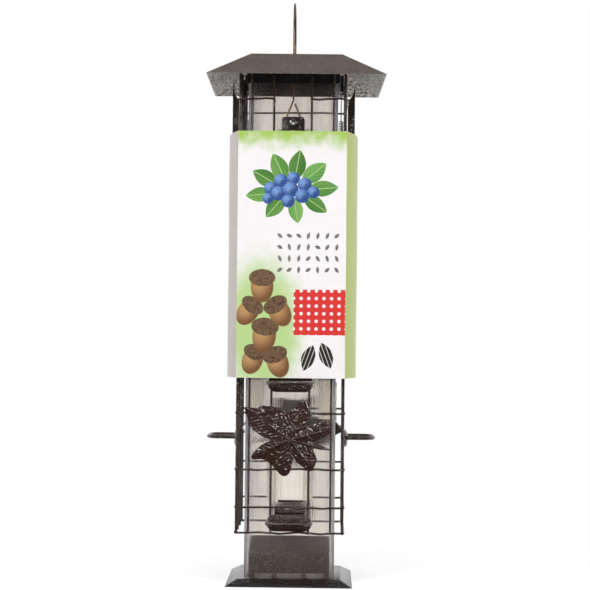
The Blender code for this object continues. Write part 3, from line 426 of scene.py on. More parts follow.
def pillow(name):
    """Stadium-shaped plate with a crowned face, flat at the back."""
    outline = []
    for step in range(PLATE_POINTS):
        angle = tau * step / PLATE_POINTS
        shift = (PLATE_HALF - PLATE_ROUND) * (1 if cos(angle) > 0 else -1)
        outline.append((shift + PLATE_ROUND * cos(angle), PLATE_ROUND * sin(angle)))
    spots = [(0, 0, PLATE_SHEET + PLATE_CROWN)]
    for ring in range(1, PLATE_RINGS + 1):
        share = ring / PLATE_RINGS
        rise = PLATE_SHEET * 0.55 + (PLATE_CROWN + PLATE_SHEET * 0.45) * sqrt(1 - share ** 3.0)
        for x, y in outline:
            rough = lumps(x * share, y * share, PLATE_LUMP, PLATE_LUMP_RISE) * (1 - share ** 6)
            spots.append((x * share, y * share, rise + rough))
    count, base = len(outline), len(spots)
    spots += [(x, y, 0) for x, y in outline]
    faces = [(0, 1 + here, 1 + (here + 1) % count) for here in range(count)]
    for ring in range(PLATE_RINGS):
        faces += band(1 + ring * count, 1 + (ring + 1) * count, count)
    faces.append(tuple(base + here for here in reversed(range(count))))
    return dressed(mesh_of(name, spots, faces), wire_paint, 50)


start = -(PLATE_LINE + PLATE_SHEET + GAP)
end = -(PLATE_LINE + PLATE_SHEET + PERCH_OUT - PERCH_WIRE / 2)
for port, side, height in PORTS:
    plate = pillow("perch_pillow_" + port)
    plate.transform(facing(side) @ upright(PLATE_LINE, height))
    settle("perch_pillow_" + port, plate, "shroud", "hammered_brown", "perch_plate_" + port)
    level = height + PERCH_RISE
    run = [(-PERCH_HALF, start + (end + PERCH_BEND - start) * step / 5, level) for step in range(5)]
    for centre, first in ((-PERCH_HALF + PERCH_BEND, 180), (PERCH_HALF - PERCH_BEND, 270)):
        run += [(centre + PERCH_BEND * x, end + PERCH_BEND + PERCH_BEND * y, level)
                for x, y in arc(first, 90, 12)]
    run += [(-x, y, z) for x, y, z in reversed(run[:5])]
    mesh = wire("perch_bow", [run], PERCH_WIRE, 20, wire_paint)
    mesh.transform(facing(side))
    mesh.set_sharp_from_angle(angle=radians(50))
    settle("perch_bow_" + port, mesh, "shroud", "hammered_brown", "perch_rod_" + port)


# Leaf shields
# Stamped maple leaves, each with a folded lobe along every vein, raised veins with herringbone ribs
# between them, a beaded rim, a rolled knob on the longest tip and lumps of thick paint all over.
LEAF_SHARES = (
    (143.9, 1.00, 1.0), (136.6, 0.84, 0.5), (129.8, 0.81, 0.4), (116.0, 0.67, 0.2),
    (102.7, 0.55, 0.1), (94.8, 0.51, 0.0), (88.0, 0.56, 0.2), (79.5, 0.64, 0.5),
    (72.5, 0.745, 1.0), (66.5, 0.745, 0.9), (55.0, 0.635, 0.5), (48.0, 0.60, 0.3),
    (43.5, 0.43, 0.0), (36.5, 0.42, 0.0), (33.5, 0.55, 0.3), (29.5, 0.71, 0.6),
    (22.5, 0.76, 0.7), (15.1, 0.79, 1.0), (8.0, 0.69, 0.5), (1.0, 0.52, 0.2),
    (-7.0, 0.42, 0.0), (-9.5, 0.60, 0.5), (-13.3, 0.785, 1.0), (-16.5, 0.60, 0.5),
    (-20.5, 0.46, 0.0), (-34.3, 0.60, 0.4), (-42.0, 0.635, 0.7), (-51.5, 0.675, 1.0),
    (-57.0, 0.665, 0.8), (-62.5, 0.56, 0.4), (-71.7, 0.42, 0.1), (-77.0, 0.33, 0.0),
    (-84.0, 0.43, 0.2), (-90.0, 0.595, 0.6), (-97.4, 0.66, 1.0), (-104.0, 0.65, 0.7),
    (-115.5, 0.59, 0.4), (-126.1, 0.555, 0.1), (-144.2, 0.60, 0.4), (-151.4, 0.75, 0.9),
    (-157.3, 0.755, 1.0), (-164.0, 0.63, 0.5), (-171.0, 0.50, 0.2), (-176.5, 0.36, 0.0),
    (178.0, 0.36, 0.0), (174.5, 0.48, 0.2), (168.5, 0.61, 0.4), (163.5, 0.73, 0.5),
    (156.0, 0.81, 0.6), (149.5, 0.93, 0.8))
LEAF_REACH, LEAF_RELIEF, LEAF_SHEET = 0.0436, 0.0020, 0.0008
LEAF_LUMP, LEAF_LUMP_RISE = 0.0023, 0.00056
LEAF_STEPS, LEAF_RINGS, BACK_RINGS = 7, 96, 10
VEIN_RISE, VEIN_WIDE, VEIN_END = 0.00050, 0.0007, 0.004
RIB_RISE, RIB_STEP, RIB_CLEAR, RIB_SWAY = 0.00034, 0.0034, 0.0015, 0.0011
SWAY_SIZE, FADE_SIZE = 0.0042, 0.0030
RIM_BEAD, BEAD_STEP, BEAD_WIDE = 0.00030, 0.0021, 0.0010
KNOB_RISE, KNOB_WIDE, KNOB_SHARE = 0.0010, 0.0016, 0.96
LEAF_LINE, BACK_TURN = ROW_LINE + ROW_WIRE / 2 + GAP, 215
LEAF_RISE = {"front": 0.0655, "back": 0.0695, "left": 0.079, "right": 0.079}
leaf_paint = hammered_paint("hammered_brown_enamel_on_stampings", "2b150e", "4a291d", 0.0017, 0.40, 0.34)


def leaf_rim():
    """The outline as a smooth closed curve: points with the fold of the lobe that they lie on."""
    marks = []
    for degrees, reach, fold in LEAF_SHARES:
        angle, out = radians(degrees), LEAF_REACH * reach
        marks.append(Vector((out * cos(angle), out * sin(angle), fold)))
    rim = []
    for index in range(len(marks)):
        a, b, c, d = (marks[(index + shift) % len(marks)] for shift in (-1, 0, 1, 2))
        for step in range(LEAF_STEPS):
            t = step / LEAF_STEPS
            rim.append(0.5 * (2 * b + (c - a) * t + (2 * a - 5 * b + 4 * c - d) * t ** 2
                              + (3 * b - a - 3 * c + d) * t ** 3))
    return rim


def leaf_rise(fold, share):
    """Height of the sheet over the outline plane: the dome and the fold along a vein."""
    return LEAF_RELIEF * (0.7 * (1 - share) + 0.15 * share + fold * 0.38 * sin(pi * share ** 0.7))


def stamped_leaf(name):
    """Stamped leaf about its middle, lumpy with thick paint, with its back in the outline plane."""
    rim = leaf_rim()
    veins = [Vector((cos(radians(d)), sin(radians(d)))) * LEAF_REACH * reach
             for d, reach, fold in LEAF_SHARES if fold == 1.0]
    knob = veins[0] * KNOB_SHARE
    along, lengths = 0.0, []
    for index, mark in enumerate(rim):
        lengths.append(along)
        along += (rim[(index + 1) % len(rim)].xy - mark.xy).length
    beads = round(along / BEAD_STEP)
    tops, backs = [], []
    for ring in range(LEAF_RINGS + 1):
        share = ring / LEAF_RINGS
        for index, mark in enumerate(rim if ring else rim[:1]):
            spot = mark.xy * share
            near, run, way = min(
                (abs(vein.normalized().cross(spot)), vein.normalized().dot(spot), vein.length)
                for vein in veins if vein.dot(spot) >= -1e-9 or not ring)
            inside = max(0.0, min(1.0, (way - run) / VEIN_END))
            vein_rib = VEIN_RISE * exp(-(near / VEIN_WIDE) ** 2) * inside
            sway = RIB_SWAY * noise.noise(Vector((spot.x, spot.y, 0.7)) / SWAY_SIZE)
            wave = cos(tau * (run - 0.9 * near + sway) / RIB_STEP)
            bones = RIB_RISE * wave * min(1, near / RIB_CLEAR)
            bones *= 0.5 + 0.9 * abs(noise.noise(Vector((spot.x, spot.y, 0.2)) / FADE_SIZE))
            bead = RIM_BEAD * max(0, cos(tau * lengths[index] / along * beads))
            bead *= exp(-((1 - share) * mark.xy.length / BEAD_WIDE - 0.7) ** 2)
            tip = KNOB_RISE * exp(-((spot - knob).length / KNOB_WIDE) ** 2)
            lump = lumps(spot.x, spot.y, LEAF_LUMP, LEAF_LUMP_RISE)
            edge = 1 - max(0, share - 0.94) / 0.06
            tops.append((spot.x, spot.y, LEAF_SHEET * 0.35 + leaf_rise(mark.z, share) + vein_rib + bead + tip
                         + (bones + lump + LEAF_SHEET * 0.5) * (0.3 + 0.7 * edge)))
    for ring in range(BACK_RINGS + 1):
        share = ring / BACK_RINGS
        for mark in rim if ring else rim[:1]:
            backs.append((mark.x * share, mark.y * share, leaf_rise(mark.z, share)))
    count, base = len(rim), len(tops)
    top_edge, back_edge = 1 + (LEAF_RINGS - 1) * count, base + 1 + (BACK_RINGS - 1) * count
    faces = [(0, 1 + (here + 1) % count, 1 + here) for here in range(count)]
    faces += [(base, base + 1 + here, base + 1 + (here + 1) % count) for here in range(count)]
    for ring in range(LEAF_RINGS - 1):
        faces += band(1 + ring * count, 1 + (ring + 1) * count, count, flip=True)
    for ring in range(BACK_RINGS - 1):
        faces += band(base + 1 + ring * count, base + 1 + (ring + 1) * count, count)
    faces += band(top_edge, back_edge, count, flip=True)
    return dressed(mesh_of(name, tops + backs, faces), leaf_paint, 60)


one_leaf = stamped_leaf("maple_leaf")
for port, side, height in PORTS:
    leaf = one_leaf.copy()
    if side == "back":
        leaf.transform(Matrix.Rotation(radians(BACK_TURN), 4, "Z"))
    leaf.transform(upright(LEAF_LINE, height + LEAF_RISE[side]))
    if side == "back":
        leaf.transform(Matrix.Scale(-1, 4, (0, 1, 0)))
        leaf.flip_normals()
    else:
        leaf.transform(facing(side))
    settle("maple_leaf_" + port, leaf, "shroud", "hammered_brown", "leaf_shield_" + port)


# Folded sheet: tray, roof, covers
# The tray, roof, covers, straps, sills and hanger plates are bent from one gauge of sheet, with small
# folds and cut edges dulled by paint. The roof is duller than the rest, and its underside carries painted
# light from the floor below, in pale speckled tones.
SHEET_EDGE, TRAY_EDGE, ROOF_EDGE = 0.0002, 0.0005, 0.0009
sheet_paint = hammered_paint("hammered_brown_enamel_on_sheet", "1b100d", "35241d", 0.0017, 0.50, 0.34)
# Painted shade: the tray takes a darker, less coated copy of the sheet enamel, for its shaded front.
tray_paint_in_painted_shade = hammered_paint("hammered_brown_enamel_on_tray_in_painted_shade", "0e0806", "1f140f", 0.0017, 0.50, 0.34, 0.6)
# Faces of the roof that look down carry painted light from the floor below, in two pale tones.
roof_paint = hammered_paint("hammered_brown_enamel_on_roof", "4b413b", "7c6e67", 0.0012, 0.5, 0.55, 0.05,
                            under=("5f5852", "f2ece6"))


def rounded(node, name, body, slot, finish, width, segments=3, sharp=30):
    """A node's solid with its edges rounded to a given width."""
    shape = bmesh.new()
    shape.from_mesh(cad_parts[node].data)
    bmesh.ops.remove_doubles(shape, verts=shape.verts, dist=0.000002)
    bmesh.ops.dissolve_limit(shape, angle_limit=radians(0.5), verts=shape.verts, edges=shape.edges)
    edges = [edge for edge in shape.edges
             if edge.is_manifold and edge.calc_face_angle() > radians(sharp)]
    bmesh.ops.bevel(shape, geom=edges, offset=width, segments=segments, profile=0.5, affect="EDGES",
                    clamp_overlap=True)
    mesh = bpy.data.meshes.new(name)
    shape.to_mesh(mesh)
    shape.free()
    return settle(name, dressed(mesh, finish, 35), body, slot, node)


rounded("base_tray", "folded_tray", "reservoir", "hammered_brown", tray_paint_in_painted_shade, TRAY_EDGE)
rounded("roof_shell", "hipped_roof", "roof", "hammered_brown", roof_paint, ROOF_EDGE, 4, 20)
for node, name, body, endings, segments, sharp in (
        ("roof_flange", "roof_locating_flange", "roof", ("",), 2, 30),
        ("port_sill", "sill_nosing", "reservoir", ["_" + port for port, side, height in PORTS], 3, 20),
        ("spring_cover", "formed_cover", "shroud", ("_left", "_right"), 3, 25),
        ("spring_bracket", "spring_strap", "reservoir", ("_left", "_right"), 2, 30),
        ("hanger_plate", "punched_plate", "reservoir", ("_front", "_back"), 2, 30)):
    for ending in endings:
        rounded(node + ending, name + ending, body, "hammered_brown", sheet_paint, SHEET_EDGE,
                segments, sharp)


# Hollow rivets and washers
# A bright eyelet through a black washer fixes each plate. Its rim is rolled over, so that light
# catches a ring round the dark bore.
TUBE_HALF, TUBE_INSIDE, RIVET_HEIGHT = 0.036, 0.0344, 0.368
PUNCHED_SHEET, BAIL_WIRE, WASHER_THICK, WASHER_LOW = 0.001, 0.0015, 0.0006, 0.0007
WASHER_RING = ((0.0034, 0), (0.0036, 0.0002), (0.0036, 0.0004), (0.0034, WASHER_THICK),
               (0.0020, WASHER_THICK), (0.0019, 0.0003), (0.0020, 0))
BORE, SHANK, ROLL_MIDDLE, ROLL_HALF, ROLL_RISE = 0.00105, 0.0016, 0.0020, 0.00095, 0.0011


def bumped(tree, height, strength, distance):
    """A surface tilted by a height."""
    return add(tree, "ShaderNodeBump", {"Height": height, "Strength": strength, "Distance": distance})


def grained(name, dark, light, grain, depth, roughness, metallic=0.0, speckling=None):
    """A plastic or metal of two close tones and a fine grain, with seed dust where asked."""
    made, tree, shader = start_finish(name)
    where = place_in(tree)
    specks = clouds(tree, where, 1 / grain, 3.0)
    colour = tone(tree, clouds(tree, where, 0.08 / grain, 3.0), dark, light)
    if speckling:
        lies = ranged(tree, clouds(tree, where, 1 / 0.001, 2.0), 0.56, 0.68)
        colour = tone(tree, lies, colour, speckling)
    gloss = ranged(tree, specks, 0.0, 1.0, roughness - 0.06, roughness + 0.08)
    feed(shader, {"Base Color": colour, "Roughness": gloss, "Normal": bumped(tree, specks, 0.6, depth),
                  "Metallic": metallic})
    return made


def turned(name, profile, steps, finish, matrix):
    """A closed profile of (radius, height) turned about Z, then put in place."""
    count = len(profile)
    spots, faces = [], []
    for step in range(steps):
        angle = tau * step / steps
        spots += [(radius * cos(angle), radius * sin(angle), height) for radius, height in profile]
        faces += band(step * count, (step + 1) % steps * count, count)
    mesh = mesh_of(name, spots, faces)
    mesh.transform(matrix)
    return dressed(mesh, finish, 40)


bright_rivet = grained("bright_rivet_steel", "b9b9bc", "dcdcde", 0.0005, 0.00001, 0.20, 1.0)
black_plastic = grained("moulded_black_plastic", "141316", "1d1b1f", 0.0003, 0.00002, 0.42)
for side in ("front", "back"):
    seat = TUBE_HALF + GAP + PUNCHED_SHEET + GAP
    face_line = seat + WASHER_THICK + GAP
    inner = TUBE_INSIDE - GAP - BAIL_WIRE - GAP
    across = Matrix.Translation((0, 0, RIVET_HEIGHT)) @ Matrix.Rotation(radians(90), 4, "X")
    head = [(ROLL_MIDDLE + ROLL_HALF * x, face_line + ROLL_RISE * max(0.0, y)) for x, y in arc(-10, 200, 12)]
    tail = [(radius, inner + face_line - height) for radius, height in reversed(head)]
    profile = head + [(BORE, inner)] + tail + [(SHANK, inner), (SHANK, face_line)]
    mesh = turned("eyelet_" + side, profile, 40, bright_rivet, facing(side) @ across)
    settle("eyelet_" + side, mesh, "reservoir", "rivet_steel", "hanger_rivet_" + side)
    low = Matrix.Translation((0, 0, -WASHER_LOW))
    ring = [(radius, seat + rise) for radius, rise in WASHER_RING]
    mesh = turned("washer_" + side, ring, 48, black_plastic, facing(side) @ low @ across)
    settle("washer_" + side, mesh, "reservoir", "black_plastic", "hanger_washer_" + side)


# Hanging wire
# One length of bronze wire: an eye with sharp bends under each rivet, two straight legs and a round
# arch above the roof.
LEG_CLEAR, LEG_BEND, ARCH_ROUND, TUBE_TOP, ARCH_RISE = 0.0044, 0.008, 0.98, 0.4056, 0.0654
EYE_LINE, BAIL_HALF = TUBE_INSIDE - GAP - BAIL_WIRE / 2, TUBE_INSIDE - LEG_CLEAR
EYE_HALF, EYE_RISE, EYE_BEND, END_SIDE, END_DROP = 0.0088, 0.0185, 0.002, 0.0014, 0.0026
bronze = grained("bronze_wire", "6d5240", "86674f", 0.0006, 0.00002, 0.34, 1.0)


def rounded_route(corners, steps):
    """A route through corners, with a round bend of its own radius at each."""
    run = [Vector(corners[0][0])]
    for (before, _), (corner, radius), (after, _) in zip(corners, corners[1:], corners[2:]):
        corner = Vector(corner)
        back, on = (Vector(before) - corner).normalized(), (Vector(after) - corner).normalized()
        half = back.angle(on) / 2
        centre = corner + (back + on).normalized() * (radius / sin(half))
        first, last = (corner + way * (radius / tan(half)) - centre for way in (back, on))
        run += [centre + first.slerp(last, step / steps).normalized() * radius for step in range(steps + 1)]
    return run + [Vector(corners[-1][0])]


bar = RIVET_HEIGHT - SHANK - BAIL_WIRE / 2 - GAP
apex = RIVET_HEIGHT + EYE_RISE
line = TUBE_TOP + ARCH_RISE - BAIL_WIRE / 2
half_route = [((END_SIDE, -EYE_LINE, apex - END_DROP), 0), ((EYE_HALF, -EYE_LINE, bar), EYE_BEND),
              ((-EYE_HALF, -EYE_LINE, bar), EYE_BEND), ((0, -EYE_LINE, apex), EYE_BEND),
              ((0, -BAIL_HALF, apex + LEG_BEND), LEG_BEND), ((0, -BAIL_HALF, line), ARCH_ROUND * BAIL_HALF)]
other_half = [((-x, -y, z), radius) for (x, y, z), radius in reversed(half_route)]
mesh = wire("hanging_wire", [rounded_route(half_route + other_half, 18)], BAIL_WIRE, 16, bronze)
settle("hanging_wire", mesh, "reservoir", "bronze_wire", "hanger_bail")


# Springs
# Close-wound extension springs with a ring at each end. Each hangs from its strap.
SPRING_WIRE, SPRING_RADIUS, SPRING_AXIS = 0.0008, 0.0016, (TUBE_HALF + CAGE_HALF - UPRIGHT_WIRE / 2) / 2
RING_RADIUS, RING_SWEEP, RING_TOP, RING_LOW = 0.0015, 285, 0.39665, 0.28815
COIL_TOP, COIL_LOW, CURLS, CURL_STEPS, STEM = 0.37515, 0.29765, 56, 14, 0.002
spring_steel = grained("bright_spring_wire", "55514f", "8d8987", 0.0004, 0.00001, 0.28, 1.0)

ring_foot, total = RING_TOP - 2 * RING_RADIUS, CURLS * CURL_STEPS
run = [(0, RING_RADIUS * x, RING_TOP + RING_RADIUS * y) for x, y in arc(-50, RING_SWEEP, 24)]
run += [(0, 0, ring_foot + (COIL_TOP + STEM - ring_foot) * step / 4) for step in range(5)]
for step in range(total + 1):
    angle = tau * step / CURL_STEPS
    radius = SPRING_RADIUS * min(1, step / CURL_STEPS, (total - step) / CURL_STEPS)
    run.append((radius * cos(angle), radius * sin(angle),
                COIL_TOP + (COIL_LOW - COIL_TOP) * step / total))
run += [(0, 0, COIL_LOW - STEM), (0, 0, RING_LOW + 2 * RING_RADIUS)]
run += [(0, RING_RADIUS * x, RING_LOW + RING_RADIUS * y) for x, y in arc(125, RING_SWEEP, 24)]
for side, way in (("right", 1), ("left", -1)):
    mesh = wire("coil_spring", [[(x + SPRING_AXIS, y, z) for x, y, z in run]], SPRING_WIRE, 8, spring_steel)
    mesh.transform(Matrix.Rotation(0 if way > 0 else pi, 4, "Z"))
    spring = settle("coil_spring_" + side, mesh, None, "spring_steel", "spring_" + side)
    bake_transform(spring)


# Moulded and extruded plastic
# The clear tube keeps its wall, ports and rims, with softened edges; hoods of the same plastic stand
# behind the ports. It has gone hazy, and its fine upright draw lines bend what lies behind it
# sideways. The collar is black, and the plug in the foot is dark brown and dusty.
TUBE_FOOT, TUBE_LENGTH, TUBE_CORNER, TUBE_WALL = 0.0056, 0.400, 0.004, TUBE_HALF - TUBE_INSIDE
PORT_WIDTH, PORT_HEIGHT, PORT_RISE, RIM_WIDTH, RIM_PROUD = 0.022, 0.027, 0.0155, 0.0024, 0.001
RIM_CORNER, PORT_CORNER, CUT_PAST, SMEAR, BENDS = 0.002, 0.001, 0.002, 0.0006, 1.15
DRILL, DRILL_LONG, DRILL_STEPS = 0.0019, 0.006, 24
HOOD_EDGE, COLLAR_EDGE, PLUG_EDGE = 0.0003, 0.0004, 0.0005


def clear(name, veil_low, veil_high, tint):
    """Clear plastic with a veil streaked along the tube and fine ridges that smear what lies behind."""
    made, tree, shader = start_finish(name)
    where = place_in(tree)
    drawn = add(tree, "ShaderNodeMapping", {0: where, 3: (1.0, 1.0, 0.012)})
    fine = clouds(tree, drawn, 1 / 0.0007, 3.0)
    streaks = calc(tree, "ADD", fine, clouds(tree, drawn, 1 / 0.010, 2.0))
    mottled = calc(tree, "MULTIPLY_ADD", clouds(tree, where, 1 / 0.030, 2.0), 0.4, streaks)
    veil = ranged(tree, mottled, 0.8, 1.6, veil_low, veil_high)
    cover = calc(tree, "MAXIMUM", veil, add(tree, "ShaderNodeFresnel", {"IOR": BENDS}))
    feed(shader, {"Base Color": linear(tint), "Roughness": 0.22,
                  "Normal": bumped(tree, streaks, 0.5, 0.00012)})
    ridges = bumped(tree, fine, 1.0, SMEAR)
    through = add(tree, "ShaderNodeBsdfRefraction", {"Color": linear("fffdfa"), "Roughness": 0.02,
                                                     "IOR": BENDS, "Normal": ridges})
    rays = add(tree, "ShaderNodeLightPath").outputs
    slant = ranged(tree, add(tree, "ShaderNodeLayerWeight").outputs["Facing"], 0.55, 0.75)
    unbent = calc(tree, "MAXIMUM", rays["Is Shadow Ray"], rays["Is Diffuse Ray"])
    unbent = calc(tree, "MAXIMUM", unbent, slant)
    passed = mixed(tree, unbent, through, add(tree, "ShaderNodeBsdfTransparent"))
    glow = add(tree, "ShaderNodeBsdfTranslucent", {"Color": linear("dfe0e6")})
    feed(tree.nodes["Material Output"], {0: mixed(tree, cover, passed, mixed(tree, 0.55, shader, glow))})
    return made


def sheet_shape(name, loops, thickness, matrix):
    """A flat shape with holes, as a closed sheet whose back lies in the outline plane."""
    curve = poly_curve(name, "2D", [[(x, y, 0) for x, y in loop] for loop in loops], closed=True)
    curve.fill_mode = "BOTH"
    curve.extrude = thickness / 2
    mesh = plain_mesh(placed(name, curve))
    shape = bmesh.new()
    shape.from_mesh(mesh)
    bmesh.ops.remove_doubles(shape, verts=shape.verts, dist=0.00001)
    bmesh.ops.recalc_face_normals(shape, faces=shape.faces)
    shape.to_mesh(mesh)
    shape.free()
    mesh.transform(matrix @ Matrix.Translation((0, 0, thickness / 2)))
    return mesh


def round_cornered(width, height, radius, steps):
    """Outline of a rectangle with round corners about its middle."""
    spots = []
    for index, (sx, sy) in enumerate(((1, 1), (-1, 1), (-1, -1), (1, -1))):
        spots += [(sx * (width / 2 - radius) + radius * x, sy * (height / 2 - radius) + radius * y)
                  for x, y in arc(90 * index, 90, steps)]
    return spots


clear_plastic = clear("extruded_clear_plastic", 0.08, 0.19, "8a7c70")
hood_plastic = clear("moulded_milky_plastic", 0.07, 0.13, "f1ece2")
dark_plastic = grained("moulded_dark_brown_plastic", "1c1516", "2c2324", 0.0003, 0.00003, 0.45, speckling="85756f")
mesh = sheet_shape("extruded_tube", (
    round_cornered(2 * TUBE_HALF, 2 * TUBE_HALF, TUBE_CORNER, 8),
    round_cornered(2 * TUBE_INSIDE, 2 * TUBE_INSIDE, TUBE_CORNER - TUBE_WALL, 8)),
    TUBE_LENGTH, Matrix.Translation((0, 0, TUBE_FOOT)))
tools = []
for port, side, height in PORTS:
    middle = height + PORT_RISE + PORT_HEIGHT / 2
    rim = round_cornered(PORT_WIDTH + 2 * RIM_WIDTH, PORT_HEIGHT + 2 * RIM_WIDTH, RIM_CORNER, 5)
    way = facing(side) @ upright(TUBE_HALF - TUBE_WALL / 2, middle)
    tools.append(("UNION", sheet_shape("rim", (rim,), TUBE_WALL / 2 + RIM_PROUD, way)))
    way = facing(side) @ upright(TUBE_INSIDE - CUT_PAST, middle)
    cut = round_cornered(PORT_WIDTH, PORT_HEIGHT, PORT_CORNER, 4)
    tools.append(("DIFFERENCE", sheet_shape("cut", (cut,), TUBE_WALL + RIM_PROUD + 2 * CUT_PAST, way)))
for way in (-1, 1):
    drill = [(DRILL * x, DRILL * y) for x, y in arc(0, 360, DRILL_STEPS)[:-1]]
    hole = upright(way * TUBE_HALF - DRILL_LONG / 2, RIVET_HEIGHT)
    tools.append(("DIFFERENCE", sheet_shape("drill", (drill,), DRILL_LONG, hole)))
for operation, cutter in tools:
    tube, tool = placed("extruded_tube", mesh), placed("tool", cutter)
    step = tube.modifiers.new("cut", "BOOLEAN")
    step.operation, step.solver, step.object = operation, "EXACT", tool
    mesh = plain_mesh(tube, tool)
mesh.materials.clear()
dressed(mesh, clear_plastic, 35)
settle("extruded_tube", mesh, "reservoir", "frosted_plastic", "tube_wall_front", "tube_wall_back",
       "tube_wall_left", "tube_wall_right")
for port, side, height in PORTS:
    rounded("port_baffle_" + port, "port_hood_" + port, "reservoir", "frosted_plastic", hood_plastic,
            HOOD_EDGE, 2)
rounded("top_collar", "moulded_collar", "reservoir", "black_plastic", black_plastic, COLLAR_EDGE, 3)
rounded("seed_deflector", "moulded_plug", "reservoir", "dark_plastic", dark_plastic, PLUG_EDGE, 3)


# Card sleeve
# A sleeve of coated card is slipped round the cage. Front and back carry a garden print: leaves and
# berries under a green border, rows of seeds, a red dotted panel, acorns and striped seeds. One side
# is plain green, the other grey board. Places are in millimetres from a panel's lower left corner.
PANEL_HALF, PANEL_LINE, BULGE = CAGE_HALF + 0.001, CAGE_HALF + 0.007, CAGE_HALF + 0.0105
CARD_FOOT, CARD_HIGH, CARD = 0.1646, 0.1956, 0.0006
CARD_WIDE_MM, CARD_HIGH_MM, SIDE_MM = 2000 * PANEL_HALF, 1000 * CARD_HIGH, 100
CARD_STEPS, CARD_ROWS, CARD_SWELL, WAVES_ROUND, WAVES_UP = 28, 60, 0.00035, 22, 16
LEAVES = (  # x, y, turn, half length, half width, ink, lighter ink
    (22, 158, 150, 12, 6.5, "3f7a2c", "6fa14a"), (33, 166, 115, 13, 7, "4c8a34", "83b35a"),
    (47, 168, 80, 13, 7, "3a7329", "6c9c48"), (60, 162, 40, 13, 7, "559640", "8dbb66"),
    (67, 150, 5, 13, 6.5, "4a8633", "7fae56"), (61, 138, -35, 12, 6, "3e7a2d", "72a24c"),
    (46, 133, -80, 11, 6, "5c9c46", "97c270"), (30, 136, -130, 12, 6.5, "44822f", "79a951"),
    (18, 145, 185, 12, 6, "52923c", "86b55e"))
BERRIES = (  # x, y, radius
    (26, 150, 5.2), (34, 156, 5.6), (44, 158, 5.2), (53, 153, 5.6), (60, 147, 4.8), (32, 146, 5.8),
    (42, 149, 6.2), (51, 144, 5.6), (40, 140, 5.2), (24, 142, 4.4))
ACORNS = (  # x, y, turn of the point, size
    (13, 14, 250, 1.0), (33, 12, 290, 1.05), (22, 33, 265, 1.15), (9, 52, 235, 1.0), (34, 52, 300, 1.05),
    (20, 72, 270, 1.1))


def swung(tree, where, angle):
    """A place turned about the middle of its motif."""
    return add(tree, "ShaderNodeVectorRotate", {"Vector": where, "Angle": angle}, rotation_type="Z_AXIS")


def local(tree, where, x, y, turn, half_long, half_wide):
    """Coordinates about a motif, as shares of its half length and half width."""
    moved = vector(tree, "SUBTRACT", where, (x, y, 0))
    return vector(tree, "DIVIDE", swung(tree, moved, -radians(turn)), (half_long, half_wide, 1))


def fade(tree, value, low, high):
    """Smooth step from 0 at low to 1 at high."""
    return ranged(tree, value, low, high, interpolation_type="SMOOTHSTEP")


def within(tree, value, low, high):
    """Smooth step from 1 at low to 0 at high."""
    return calc(tree, "SUBTRACT", 1.0, fade(tree, value, low, high))


def between(tree, value, low, high):
    """1 between two limits and 0 outside them."""
    above, below = calc(tree, "GREATER_THAN", value, low), calc(tree, "LESS_THAN", value, high)
    return times(tree, above, below)


def oval(tree, *motif):
    """Distance from the middle of an oval given by its place, turn and half sizes, 1 at its rim."""
    return length(tree, local(tree, *motif))


def about_middle(tree, cell):
    """Place about the middle of each cell of a repeated motif."""
    return vector(tree, "SUBTRACT", vector(tree, "FRACTION", cell), (0.5, 0.5, 0))


def petal(tree, spot):
    """A pointed oval: how far along, aside and across it a place lies, and a value over 0 inside it."""
    along, aside = parts(tree, spot)[:2]
    across = calc(tree, "ABSOLUTE", aside)
    inside = calc(tree, "SUBTRACT", 1.0, times(tree, along, along))
    return along, aside, across, calc(tree, "SUBTRACT", inside, across)


def striped(tree, aside, rate, low, high, dark, light):
    """The striped husk of a seed."""
    wave = calc(tree, "SINE", times(tree, aside, rate))
    return tone(tree, fade(tree, wave, low, high), dark, light)


def coated(tree, shader, ink):
    """Finish a card material: its ink under a thin gloss coat, with the grain of the board."""
    where = place_in(tree)
    board = clouds(tree, where, 1 / 0.0006, 3.0)
    height = calc(tree, "MULTIPLY_ADD", clouds(tree, where, 1 / 0.045, 1.0), 6.0, board)
    feed(shader, {"Base Color": ink, "Normal": bumped(tree, height, 0.5, 0.00005), "Roughness": 0.42,
                  "Coat Weight": 0.25, "Coat Roughness": 0.2})


def plain_card(name, scale, detail, first, second):
    """Coated card in two close tones of one ink."""
    made, tree, shader = start_finish(name)
    where = add(tree, "ShaderNodeUVMap", uv_map="card_mm")
    coated(tree, shader, tone(tree, clouds(tree, where, scale, detail), first, second))
    return made


printed, tree, shader = start_finish("coated_card_with_garden_print")
where = add(tree, "ShaderNodeUVMap", uv_map="card_mm").outputs[0]
x, y = parts(tree, where)[:2]
blot = clouds(tree, where, 0.09, 3.0)
fleck = clouds(tree, where, 0.8, 3.0)
ink = tone(tree, blot, "efe9ea", "f6f3f4")
edge = calc(tree, "MULTIPLY_ADD", blot, 26.0, y)
border = tone(tree, fleck, "86b82e", "c3dc76")
ink = tone(tree, fade(tree, edge, CARD_HIGH_MM - 6, CARD_HIGH_MM + 14), ink, border)
glow = calc(tree, "MULTIPLY_ADD", blot, 0.25, oval(tree, where, 20, 40, 90, 68, 40))
ink = tone(tree, within(tree, glow, 0.60, 1.15), ink, "b9d58c")
for px, py, turn, long_half, wide_half, dark, light in LEAVES:
    along, aside, across, inside = petal(tree, local(tree, where, px, py, turn, long_half, wide_half))
    ribs = calc(tree, "SINE", times(tree, calc(tree, "SUBTRACT", along, across), 16.0))
    shade = calc(tree, "MULTIPLY_ADD", ribs, 0.18, calc(tree, "MULTIPLY_ADD", aside, 0.3, 0.35), clamp=True)
    leaf = fade(tree, inside, 0.0, 0.06)
    ink = tone(tree, leaf, ink, tone(tree, shade, dark, light))
    ink = tone(tree, times(tree, leaf, within(tree, across, 0.03, 0.07)), ink, "a9cc84")
